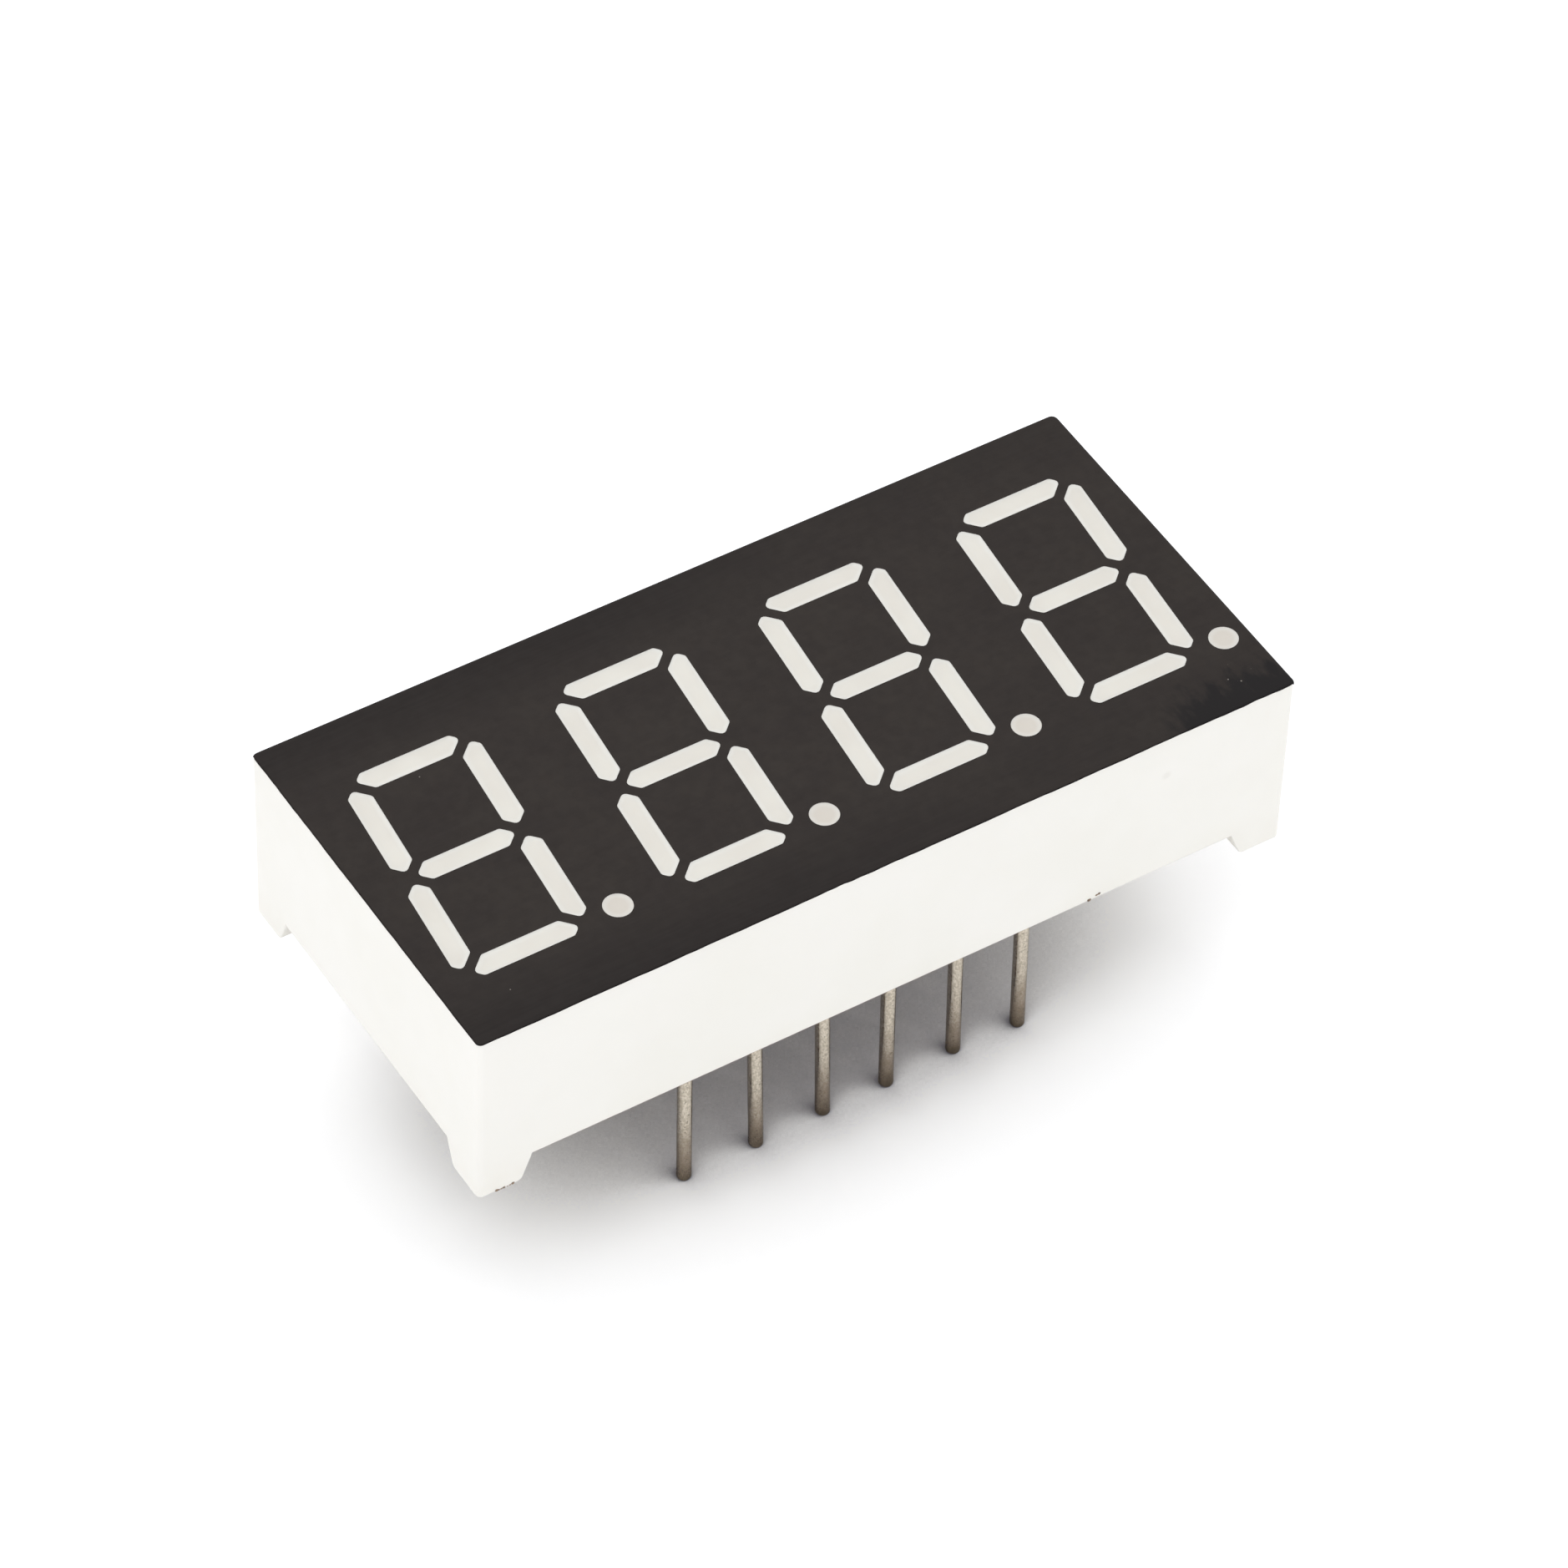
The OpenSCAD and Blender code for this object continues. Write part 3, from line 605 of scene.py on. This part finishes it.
# %% The centre line of each window
def mark_windows(made):
    """Stores the outline and the nearest centre-line point on every window's points."""
    spine = made.verts.layers.float_vector.new("spine")
    outline = made.verts.layers.float_vector.new("outline")
    rim = made.verts.layers.float.new("rim")
    dot = made.verts.layers.float.new("dot")
    window = made.faces.layers.bool.new("window")
    tops = [face for face in made.faces if face.normal.z > 0.99 and face.verts[0].co.z > FACE - CLOSE]
    for face in tops:
        face[window] = True
        points = [vertex.co for vertex in face.verts]
        pairs = ((a, b) for a in points for b in points)
        first, last = max(pairs, key=lambda ends: (ends[0] - ends[1]).length)
        middle = (first + last) / 2
        along = (last - first).normalized()
        aside = max(abs((point - middle).cross(along).length) for point in points)
        free = max(0.0, (last - first).length / 2 - aside)
        for vertex in face.verts:
            distance = max(-free, min(free, (vertex.co - middle).dot(along)))
            vertex[spine] = middle + along * distance
            vertex[outline] = vertex.co
            vertex[rim] = 1.0
            vertex[dot] = 1.0 if free < aside else 0.0
    return len(tops)


resin_start = merged_copy("segment_resin")
print("windows found:", mark_windows(resin_start))

# %% The meniscus tree
def meniscus_tree():
    """Turns each marked window top into a dish of rings."""
    tree, put = new_tree("meniscus", Rings=0, Sink=0.0, Reach=0.0, Steepness=0.0)
    start = add_node(tree, "GeometryNodeRepeatInput", {"Iterations": put["Rings"]})
    finish = tree.nodes.new("GeometryNodeRepeatOutput")
    start.pair_with_output(finish)
    tree.links.new(put["Geometry"], start.inputs["Geometry"])
    window = step(tree, "GeometryNodeInputNamedAttribute", {"Name": "window"}, data_type="BOOLEAN")
    inputs = {"Mesh": start.outputs["Geometry"], "Selection": window, "Offset Scale": 0.0}
    raised = add_node(tree, "GeometryNodeExtrudeMesh", inputs, mode="FACES")
    top = raised.outputs["Top"]
    share = calc(tree, "DIVIDE", calc(tree, "ADD", start.outputs["Iteration"], 1.0), put["Rings"])
    inward = calc(tree, "MULTIPLY", calc(tree, "POWER", share, 1.7), put["Reach"])
    spine = step(tree, "GeometryNodeInputNamedAttribute", {"Name": "spine"}, data_type="FLOAT_VECTOR")
    outline = step(tree, "GeometryNodeInputNamedAttribute", {"Name": "outline"}, data_type="FLOAT_VECTOR")
    drawn = add_node(tree, "ShaderNodeMix", {0: inward, 4: outline, 5: spine}, data_type="VECTOR")
    fall = calc(tree, "POWER", math.e, calc(tree, "MULTIPLY", inward, put["Steepness"]))
    drop = calc(tree, "SUBTRACT", calc(tree, "DIVIDE", 1.0, fall), 1.0)
    lowered = step(tree, "ShaderNodeCombineXYZ", {"Z": calc(tree, "MULTIPLY", drop, put["Sink"])})
    inputs = {"Geometry": raised.outputs["Mesh"], "Selection": top}
    inputs.update({"Position": drawn.outputs[1], "Offset": lowered})
    dished = step(tree, "GeometryNodeSetPosition", inputs)
    left = calc(tree, "SUBTRACT", 1.0, inward)
    inputs = {"Geometry": dished, "Selection": top, "Name": "rim", "Value": left}
    edged = step(tree, "GeometryNodeStoreNamedAttribute", inputs, data_type="FLOAT", domain="POINT")
    inputs = {"Geometry": edged, "Name": "window", "Value": top}
    marked = step(tree, "GeometryNodeStoreNamedAttribute", inputs, data_type="BOOLEAN", domain="FACE")
    tree.links.new(marked, finish.inputs["Geometry"])
    end_tree(tree, finish.outputs["Geometry"], put["Material"])
    return tree


resin_mesh = bpy.data.meshes.new("resin start")
resin_start.to_mesh(resin_mesh)
resin_start.free()
dished = run_tree(meniscus_tree(), resin_mesh, RESIN, Rings=7, Sink=0.03 * MM, Reach=0.94, Steepness=4.5)
new_piece("segment_faces", dished, RESIN, "segment_resin", "segment_resin")

# %% [markdown]
# ## Tinned pins
# The pins are copper-clad steel wire, cut to length and dipped in tin. Tin looks like a dull warm
# grey metal: bright where it is clean, grainy, with dark pits and a little brown flux and handling
# grime towards the tips. That brown is also painted shade, for the shadow near the card, and the
# ends are painted darkest. The finish is a metal whose colour and roughness follow these.


# %% The tinned finish
def tinned():
    """Dull tin with grains and pits; grime and painted shade make it browner towards the end."""
    material, tree, shader, place = new_finish("tinned_wire")
    height = add_node(tree, "ShaderNodeSeparateXYZ", {0: place}).outputs["Z"]
    ragged = calc(tree, "ADD", height, calc(tree, "MULTIPLY", noise_at(tree, place, 1.3), 1.6))
    grain = noise_at(tree, place, 16, 5, (1.0, 1.0, 0.6))
    metal = mix_colour(tree, smooth(tree, grain, 0.35, 0.65), rgb(186, 176, 159), rgb(218, 209, 194))
    # grime and painted shade: browner low down
    grime_and_shade = smooth(tree, ragged, 4.4, 1.4)
    colour = mix_colour(tree, calc(tree, "MULTIPLY", grime_and_shade, 0.8), metal, rgb(141, 125, 108))
    # painted shadow and grime: darkest at the pins' ends
    tip_grime_and_shade = smooth(tree, ragged, 1.9, 0.7)
    colour = mix_colour(tree, calc(tree, "MULTIPLY", tip_grime_and_shade, 0.8), colour, rgb(102, 91, 74))
    cells = add_node(tree, "ShaderNodeTexVoronoi", {"Vector": place, "Scale": 7.0})
    rare = calc(tree, "GREATER_THAN", cells.outputs["Color"], 0.6)
    pit = calc(tree, "MULTIPLY", smooth(tree, cells.outputs["Distance"], 0.3, 0.12), rare)
    colour = mix_colour(tree, calc(tree, "MULTIPLY", pit, 0.5), colour, rgb(84, 76, 66))
    dull = smooth(tree, grain, 0.3, 0.7, 0.13, 0.22)
    dull = calc(tree, "ADD", dull, calc(tree, "MULTIPLY", tip_grime_and_shade, 0.2))
    set_shader(tree, shader, Base_Color=colour, Roughness=dull, Metallic=1.0)
    set_shader(tree, shader, Specular_Tint=(0.88, 0.86, 0.83, 1.0))
    relief = calc(tree, "SUBTRACT", grain, pit)
    bump_from(tree, shader, relief, 0.002, 0.6)
    return material


TIN = tinned()
print("finish:", TIN.name)

# %% [markdown]
# ## The pins
# All twelve are the same wire, so one is made and put on twelve points. A round section is swept
# along an upright line; its radius follows a rule near the tip, which gives the rounded cut end.
# Handling bends pins a little: each point stores its own lean, here in hundredths of a
# millimetre along and out of the row, which moves a pin's free end and leaves its root in place.


# %% The pin tree
DENTS_AT = 0.9 / MM  # dents to a millimetre


def pin_tree():
    """One pin on every point, leaning from its root by the point's own lean."""
    sizes = dict(Length=0.0, Radius=0.0, Tip_round=0.0, Root=0.0, Dents=0.0, Rings=0, Sides=0)
    tree, put = new_tree("pins on points", **sizes)
    line = step(tree, "GeometryNodeCurvePrimitiveLine", {"Start": (0, 0, 0), "End": (0, 0, 1)})
    line = step(tree, "GeometryNodeResampleCurve", {"Curve": line, "Count": put["Rings"]})
    share = step(tree, "GeometryNodeSplineParameter")
    height = calc(tree, "MULTIPLY", calc(tree, "POWER", share, 2.0), put["Length"])
    upright = step(tree, "ShaderNodeCombineXYZ", {"Z": height})
    line = step(tree, "GeometryNodeSetPosition", {"Geometry": line, "Position": upright})
    place = step(tree, "GeometryNodeInputPosition")
    above_tip = add_node(tree, "ShaderNodeSeparateXYZ", {0: place}).outputs["Z"]
    low_part = calc(tree, "MINIMUM", above_tip, put["Tip round"])
    short = calc(tree, "POWER", calc(tree, "SUBTRACT", put["Tip round"], low_part), 2.0)
    square = calc(tree, "SUBTRACT", calc(tree, "POWER", put["Tip round"], 2.0), short)
    flat = calc(tree, "SUBTRACT", put["Radius"], put["Tip round"])
    radius = calc(tree, "ADD", flat, calc(tree, "SQRT", square))
    ring = step(tree, "GeometryNodeCurvePrimitiveCircle", {"Resolution": put["Sides"], "Radius": 1.0})
    inputs = {"Curve": line, "Profile Curve": ring, "Scale": radius, "Fill Caps": True}
    pin = step(tree, "GeometryNodeCurveToMesh", inputs)
    pins = step(tree, "GeometryNodeInstanceOnPoints", {"Points": put["Geometry"], "Instance": pin})
    pins = step(tree, "GeometryNodeRealizeInstances", {"Geometry": pins})
    lean = step(tree, "GeometryNodeInputNamedAttribute", {"Name": "lean"}, data_type="FLOAT_VECTOR")
    free = calc(tree, "SUBTRACT", 1.0, calc(tree, "DIVIDE", above_tip, put["Root"]))
    free = calc(tree, "MAXIMUM", free, 0.0)
    leaned = step(tree, "ShaderNodeVectorMath", {0: lean, "Scale": free}, operation="SCALE")
    dents = add_node(tree, "ShaderNodeTexNoise", {"Vector": place, "Scale": DENTS_AT, "Detail": 2.0})
    inputs = {0: dents.outputs["Color"], 1: (0.5, 0.5, 0.5)}
    even = step(tree, "ShaderNodeVectorMath", inputs, operation="SUBTRACT")
    dented = step(tree, "ShaderNodeVectorMath", {0: even, "Scale": put["Dents"]}, operation="SCALE")
    dented = step(tree, "ShaderNodeVectorMath", {0: dented, 1: (1, 1, 0)}, operation="MULTIPLY")
    offset = step(tree, "ShaderNodeVectorMath", {0: leaned, 1: dented}, operation="ADD")
    pins = step(tree, "GeometryNodeSetPosition", {"Geometry": pins, "Offset": offset})
    end_tree(tree, pins, put["Material"])
    return tree


print("pin tree has", len(pin_tree().nodes), "nodes")

# %% The twelve pins
PINS = [f"pin_{number}" for number in range(1, 13)]
LEANS = ((10, 0), (27, 0), (30, -6), (17, -4), (27, -13), (16, -3))


def pin_points():
    """A mesh of twelve loose points, at the pins' tips, with a lean each."""
    made = bmesh.new()
    lean = made.verts.layers.float_vector.new("lean")
    for index, name in enumerate(PINS):
        low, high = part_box(name)
        vertex = made.verts.new(((low.x + high.x) / 2, (low.y + high.y) / 2, low.z))
        sideways, outward = LEANS[index % len(LEANS)]
        towards = outward * math.copysign(1, vertex.co.y)
        vertex[lean] = Vector((sideways, towards, 0)) * MM / 100
    mesh = bpy.data.meshes.new("pin points")
    made.to_mesh(mesh)
    made.free()
    return mesh


PIN_LOW, PIN_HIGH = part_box(PINS[0])
PIN_RADIUS = (PIN_HIGH.x - PIN_LOW.x) / 2
pin_mesh = run_tree(
    pin_tree(),
    pin_points(),
    TIN,
    Length=PIN_HIGH.z - PIN_LOW.z,
    Radius=PIN_RADIUS,
    Tip_round=0.12 * MM,
    Root=SEAL,
    Dents=0.02 * MM,
    Rings=44,
    Sides=28,
)
new_piece("pins", pin_mesh, TIN, "tinned_pin", *PINS)

# %% [markdown]
# ## Clear epoxy
# The back is closed with clear epoxy that has yellowed a little, so the board, its tracks and the
# soldered pins show through it. Real refraction would need many light bounces in so thin a layer.
# A glossy surface that lets part of the light straight through looks the same and renders clean.


# %% The epoxy
def clear_epoxy():
    """Slightly yellow epoxy that shows what lies under it, with a few tiny bubbles."""
    material, tree, shader, place = new_finish("clear_epoxy")
    clouds = smooth(tree, noise_at(tree, place, 0.3), 0.3, 0.7)
    colour = mix_colour(tree, clouds, rgb(222, 217, 196), rgb(212, 204, 178))
    cells = add_node(tree, "ShaderNodeTexVoronoi", {"Vector": place, "Scale": 0.9})
    bubble = smooth(tree, cells.outputs["Distance"], 0.12, 0.06)
    see = smooth(tree, clouds, 0.0, 1.0, 0.38, 0.5)
    see = calc(tree, "ADD", see, calc(tree, "MULTIPLY", bubble, 0.2))
    gloss = smooth(tree, noise_at(tree, place, 1.2), 0.3, 0.7, 0.14, 0.26)
    set_shader(tree, shader, Base_Color=colour, Roughness=gloss, Alpha=see)
    bump_from(tree, shader, calc(tree, "SUBTRACT", noise_at(tree, place, 0.9, 2), bubble), 0.02, 0.5)
    return material


EPOXY = clear_epoxy()
print("finish:", EPOXY.name)

# %% [markdown]
# ## The back seal
# Epoxy is poured in with the display face down. It levels itself, but it wets the walls and the
# pins and climbs a little at each. The surface is a grid whose height is a rule: the climb fades
# with the distance to the nearest wall or pin. Sides and a flat bottom on the board close it.

# %% The epoxy's surface
WALL_CLIMB = 0.07 * MM
PIN_CLIMB = 0.09 * MM
FADE = 0.22 * MM
UNEVEN = 0.012 * MM
GRID = 0.16 * MM


def epoxy_height(x, y, low, high, pins):
    """Height of the surface at x, y; it climbs towards the walls and the pins."""
    wall = max(0.0, min(x - low.x, high.x - x, y - low.y, high.y - y))
    pin = max(0.0, min(math.hypot(x - px, y - py) for px, py in pins) - PIN_RADIUS)
    climb = WALL_CLIMB * math.exp(-wall / FADE) + PIN_CLIMB * math.exp(-pin / FADE)
    wave = noise.noise(Vector((x, y, 0)) / MM * 0.35) * UNEVEN
    return low.z - min(climb, WALL_CLIMB) + wave


def back_seal():
    """The epoxy as a closed block with its grid of a surface below."""
    low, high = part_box("back_seal")
    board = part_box("circuit_board")[0].z
    pins = []
    for name in PINS:
        pin_from, pin_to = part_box(name)
        pins.append(((pin_from.x + pin_to.x) / 2, (pin_from.y + pin_to.y) / 2))
    across, deep = round((high.x - low.x) / GRID), round((high.y - low.y) / GRID)
    made = bmesh.new()
    rows = []
    for row in range(deep + 1):
        y = low.y + (high.y - low.y) * row / deep
        places = [low.x + (high.x - low.x) * column / across for column in range(across + 1)]
        heights = [epoxy_height(x, y, low, high, pins) for x in places]
        rows.append([made.verts.new((x, y, z)) for x, z in zip(places, heights)])
    for first, second in zip(rows, rows[1:]):
        for column in range(across):
            made.faces.new((first[column], second[column], second[column + 1], first[column + 1]))
    right, left = [row[-1] for row in rows[1:]], [row[0] for row in rows[-2:0:-1]]
    rim = rows[0] + right + rows[-1][-2::-1] + left
    top = [made.verts.new((vertex.co.x, vertex.co.y, board)) for vertex in rim]
    join_rings(made, rim, top)
    made.faces.new(top)
    bmesh.ops.recalc_face_normals(made, faces=made.faces)
    return made


new_piece("back_epoxy", back_seal(), EPOXY, "seal_resin", "back_seal")

# %% [markdown]
# ## Finishes for the parts inside
# Board, copper, solder, glue, wires and chips keep their CAD shapes: they are small, and most are
# seen only through the epoxy. Each still gets its own finish. All the metals differ in colour,
# roughness and grain alone, so one function makes them.


# %% Metals and glue
def metal(name, low, high, roughness, grain, metallic=1.0, depth=0.003):
    """A metal whose colour runs from low to high, with grain in patches a millimetre."""
    material, tree, shader, place = new_finish(name)
    patches = noise_at(tree, place, grain, 4)
    colour = mix_colour(tree, smooth(tree, patches, 0.35, 0.65), low, high)
    gloss = smooth(tree, patches, 0.3, 0.7, roughness, roughness + 0.14)
    set_shader(tree, shader, Base_Color=colour, Roughness=gloss, Metallic=metallic)
    bump_from(tree, shader, patches, depth, 0.6)
    return material


INSIDE = {
    "copper": metal("gold_flashed_copper", rgb(206, 150, 72), rgb(228, 182, 100), 0.28, 3.0),
    "solder": metal("soft_solder", rgb(168, 168, 164), rgb(206, 205, 200), 0.25, 2.2, depth=0.01),
    "silver_glue": metal("silver_filled_glue", rgb(140, 140, 138), rgb(188, 186, 182), 0.5, 14.0, 0.7),
    "gold_wire": metal("thin_gold", rgb(214, 168, 84), rgb(240, 200, 118), 0.2, 20.0),
}
print("finishes:", [material.name for material in INSIDE.values()])

# %% [markdown]
# ## Laminate and chips
# The board is glass cloth in resin. Its weave is two waves at right angles, each showing where the
# other dips. The chips are red-orange crystal with a fine grain.


# %% The laminate
def laminate():
    """Glass cloth in yellowish resin, with the weave showing faintly."""
    material, tree, shader, place = new_finish("glass_laminate")
    warp = add_node(tree, "ShaderNodeTexWave", {"Vector": place, "Scale": 0.7}, bands_direction="X")
    weft = add_node(tree, "ShaderNodeTexWave", {"Vector": place, "Scale": 0.7}, bands_direction="Y")
    weave = calc(tree, "MULTIPLY", warp.outputs["Fac"], weft.outputs["Fac"])
    cloth = mix_colour(tree, weave, rgb(172, 158, 98), rgb(198, 184, 128))
    clouds = smooth(tree, noise_at(tree, place, 0.4), 0.35, 0.7)
    colour = mix_colour(tree, calc(tree, "MULTIPLY", clouds, 0.5), cloth, rgb(180, 160, 104))
    gloss = smooth(tree, noise_at(tree, place, 3.0), 0.3, 0.7, 0.34, 0.5)
    set_shader(tree, shader, Base_Color=colour, Roughness=gloss)
    bump_from(tree, shader, weave, 0.006, 0.6)
    return material


# %% The chips
def red_chip():
    """Red-orange crystal with a fine grain, slightly rough."""
    material, tree, shader, place = new_finish("red_chip")
    grain = noise_at(tree, place, 22, 4)
    colour = mix_colour(tree, smooth(tree, grain, 0.35, 0.65), rgb(198, 66, 44), rgb(226, 92, 62))
    gloss = smooth(tree, grain, 0.3, 0.7, 0.25, 0.45)
    set_shader(tree, shader, Base_Color=colour, Roughness=gloss)
    bump_from(tree, shader, grain, 0.002, 0.5)
    return material


INSIDE["laminate"] = laminate()
INSIDE["led_chip"] = red_chip()
print("finishes:", INSIDE["laminate"].name, "and", INSIDE["led_chip"].name)

# %% [markdown]
# ## Finishes on the CAD nodes that stay
# The record says which material slot each node belongs to, so the finish follows from its name.

# %% Finishes on CAD nodes
slots = {row["node"]: row["material_slot"] for row in frame["record"]["subparts"]}
kept = [node for node in frame["nodes"] if slots[node] in INSIDE]
for node in kept:
    mesh = frame["nodes"][node].data
    mesh.materials.clear()
    mesh.materials.append(INSIDE[slots[node]])
print("finishes given to", len(kept), "CAD nodes")

# %% [markdown]
# ## Flash at the parting line
# Where the mould halves meet, a little plastic escapes and tears off, and the torn bits take up
# dirt. They show as a few brown crumbs on the lower front edge of one foot and of the rim. They
# could be sculpted; here each is a small ball made ragged by noise and sunk by half in the wall.


# %% The brown flash
def torn_plastic():
    """Plastic scorched and dirtied to brown."""
    material, tree, shader, place = new_finish("torn_plastic")
    grain = noise_at(tree, place, 12, 4)
    colour = mix_colour(tree, smooth(tree, grain, 0.3, 0.65), rgb(82, 60, 48), rgb(160, 138, 118))
    set_shader(tree, shader, Base_Color=colour, Roughness=smooth(tree, grain, 0.3, 0.7, 0.5, 0.75))
    bump_from(tree, shader, grain, 0.01, 0.8)
    return material


CRUMBS = (
    # x and height in mm, then radius in hundredths of a mm
    (-14.34, 6.24, 5),
    (-14.26, 6.22, 3),
    (-14.17, 6.22, 3),
    (-14.08, 6.23, 4),
    (-13.96, 6.21, 2),
    (-13.86, 6.22, 3),
    (-13.76, 6.24, 5),
    (7.56, 7.3, 6),
    (7.93, 7.4, 5),
    (7.84, 7.38, 4),
)


CRUMB_LONG = 1.2
CRUMB_DEEP = 0.45


def crumb(made, place, radius):
    """Adds a small ragged lump, sunk by half in the front wall."""
    lump = bmesh.ops.create_icosphere(made, subdivisions=3, radius=radius)["verts"]
    for vertex in lump:
        out = vertex.co / radius
        ragged = 1.0 + 0.5 * noise.noise(out * 1.6 + place / MM * 3)
        vertex.co = place + Vector((out.x * CRUMB_LONG, out.y * CRUMB_DEEP, out.z)) * radius * ragged


flash = bmesh.new()
for x, height, size in CRUMBS:
    crumb(flash, Vector((x * MM, HOUSING_LOW.y, height * MM)), size * MM / 100)
bmesh.ops.recalc_face_normals(flash, faces=flash.faces)
new_piece("mould_flash", flash, torn_plastic(), "housing_plastic")

# %% [markdown]
# ## Floor
# The display stands on white card, which takes its soft shadow. A diffuse plane does that, and its
# colour adds a painted shadow, which follows how much open sky each place on it sees, dark under
# the body and bright outside.
# For the camera alone the card is a little brighter than it is for the light that bounces off it,
# so that it runs out into white without lighting the display more. Seen from below it is clear,
# and so it is for the gloss of a pin's cut end, which nearly touches it and would turn black.


# %% The floor
CARD_BOUNCE = (0.92, 0.92, 0.92, 1.0)
CARD_PAINTED_SHADOW = (0.27, 0.265, 0.31, 1.0)
CARD_OPEN = (1.17, 1.175, 1.2, 1.0)
SKY_FROM, SKY_TO = 0.28, 0.535  # shares of open sky for the deep and the open shade
SKY_REACH = 30 * MM
SKY_SAMPLES = 16
# painted shadow: a little deeper in what the pins mirror
LESS_IN_GLOSS = 0.06  # what the pins mirror is a little darker
TOUCHING = 0.03 * MM
CARD_HALF = 2.0
CARD_GAP = 0.01 * MM


def white_card():
    """White card: a soft shadow, partly painted, white for the camera, and clear from below."""
    material = bpy.data.materials.new("white_card")
    material.use_nodes = True
    tree = material.node_tree
    tree.nodes.clear()
    inputs = {"Distance": SKY_REACH}
    sky = add_node(tree, "ShaderNodeAmbientOcclusion", inputs, samples=SKY_SAMPLES)
    rays = add_node(tree, "ShaderNodeLightPath").outputs
    in_gloss = calc(tree, "MULTIPLY", rays["Is Glossy Ray"], LESS_IN_GLOSS)
    inputs = {"Value": calc(tree, "SUBTRACT", sky.outputs["AO"], in_gloss)}
    inputs.update({"From Min": SKY_FROM, "From Max": SKY_TO})
    open_sky = add_node(tree, "ShaderNodeMapRange", inputs).outputs["Result"]
    # painted shadow: the card's colour follows its share of open sky
    shown = mix_colour(tree, open_sky, CARD_PAINTED_SHADOW, CARD_OPEN)
    seen = calc(tree, "MAXIMUM", rays["Is Camera Ray"], rays["Is Transmission Ray"])
    seen = calc(tree, "MAXIMUM", seen, rays["Is Glossy Ray"])
    level = mix_colour(tree, seen, CARD_BOUNCE, shown)
    card = add_node(tree, "ShaderNodeBsdfDiffuse", {"Color": level}).outputs[0]
    clear = add_node(tree, "ShaderNodeBsdfTransparent").outputs[0]
    below = add_node(tree, "ShaderNodeNewGeometry").outputs["Backfacing"]
    close = calc(tree, "LESS_THAN", rays["Ray Length"], TOUCHING)
    close = calc(tree, "MULTIPLY", close, rays["Is Glossy Ray"])
    gone = calc(tree, "MAXIMUM", below, close)
    both = add_node(tree, "ShaderNodeMixShader", {0: gone, 1: card, 2: clear}).outputs[0]
    add_node(tree, "ShaderNodeOutputMaterial", {"Surface": both})
    return material


card = bmesh.new()
bmesh.ops.create_grid(card, x_segments=1, y_segments=1, size=CARD_HALF)
card_mesh = bpy.data.meshes.new("card")
card.to_mesh(card_mesh)
card.free()
card_mesh.materials.append(white_card())
floor = bpy.data.objects.new("card", card_mesh)
floor.location.z = cad_box[0][2] - CARD_GAP
bpy.context.scene.collection.objects.link(floor)
print("card laid at", round(floor.location.z / MM, 3))

# %% [markdown]
# ## Light
# Soft light from a bright room and large softboxes, mostly from high up: that keeps the card dark
# under the body and the walls bright. A softbox is an area light that faces the display.

# %% The softboxes and the room
SOFTBOXES = (
    # name, azimuth, elevation, power in watts, colour
    ("left", -60, 60, 0.45, (0.94, 0.97, 1.0)),
    ("right", 75, 60, 0.2, (1.0, 1.0, 1.0)),
    ("back", 180, 60, 0.42, (1.0, 1.0, 1.0)),
)
SIZE = 0.3
FAR = 0.6
ROOM_LIGHT = 0.87


def softbox(name, azimuth, elevation, power, colour):
    """A square area light that looks at the display from the given direction."""
    data = bpy.data.lights.new(name, "AREA")
    data.size = SIZE
    data.energy = power
    data.color = colour
    around, above = math.radians(azimuth), math.radians(elevation)
    level = math.cos(above)
    back = Vector((math.sin(around) * level, -math.cos(around) * level, math.sin(above)))
    light = bpy.data.objects.new(name, data)
    light.location = back * FAR
    light.rotation_mode = "QUATERNION"
    light.rotation_quaternion = back.to_track_quat("Z", "Y")
    bpy.context.scene.collection.objects.link(light)


for row in SOFTBOXES:
    softbox(*row)


def bright_room(strength):
    """A white surround for the camera and for gloss, and an even light of the given strength."""
    world = bpy.data.worlds.new("bright room")
    bpy.context.scene.world = world
    world.use_nodes = True
    tree = world.node_tree
    rays = add_node(tree, "ShaderNodeLightPath").outputs
    seen = calc(tree, "MAXIMUM", rays["Is Camera Ray"], rays["Is Transmission Ray"])
    seen = calc(tree, "MAXIMUM", seen, rays["Is Glossy Ray"])
    level = calc(tree, "ADD", calc(tree, "MULTIPLY", seen, 1.0 - strength), strength)
    tree.links.new(level, tree.nodes["Background"].inputs["Strength"])
    tree.nodes["Background"].inputs["Color"].default_value = (1.0, 1.0, 1.0, 1.0)


bright_room(ROOM_LIGHT)
print("lights:", [row[0] for row in SOFTBOXES])

# %% [markdown]
# ## The end
# The colours are shown as they are. The display's box is written down at the start.

# %% The end
bpy.context.scene.view_settings.view_transform = "Standard"
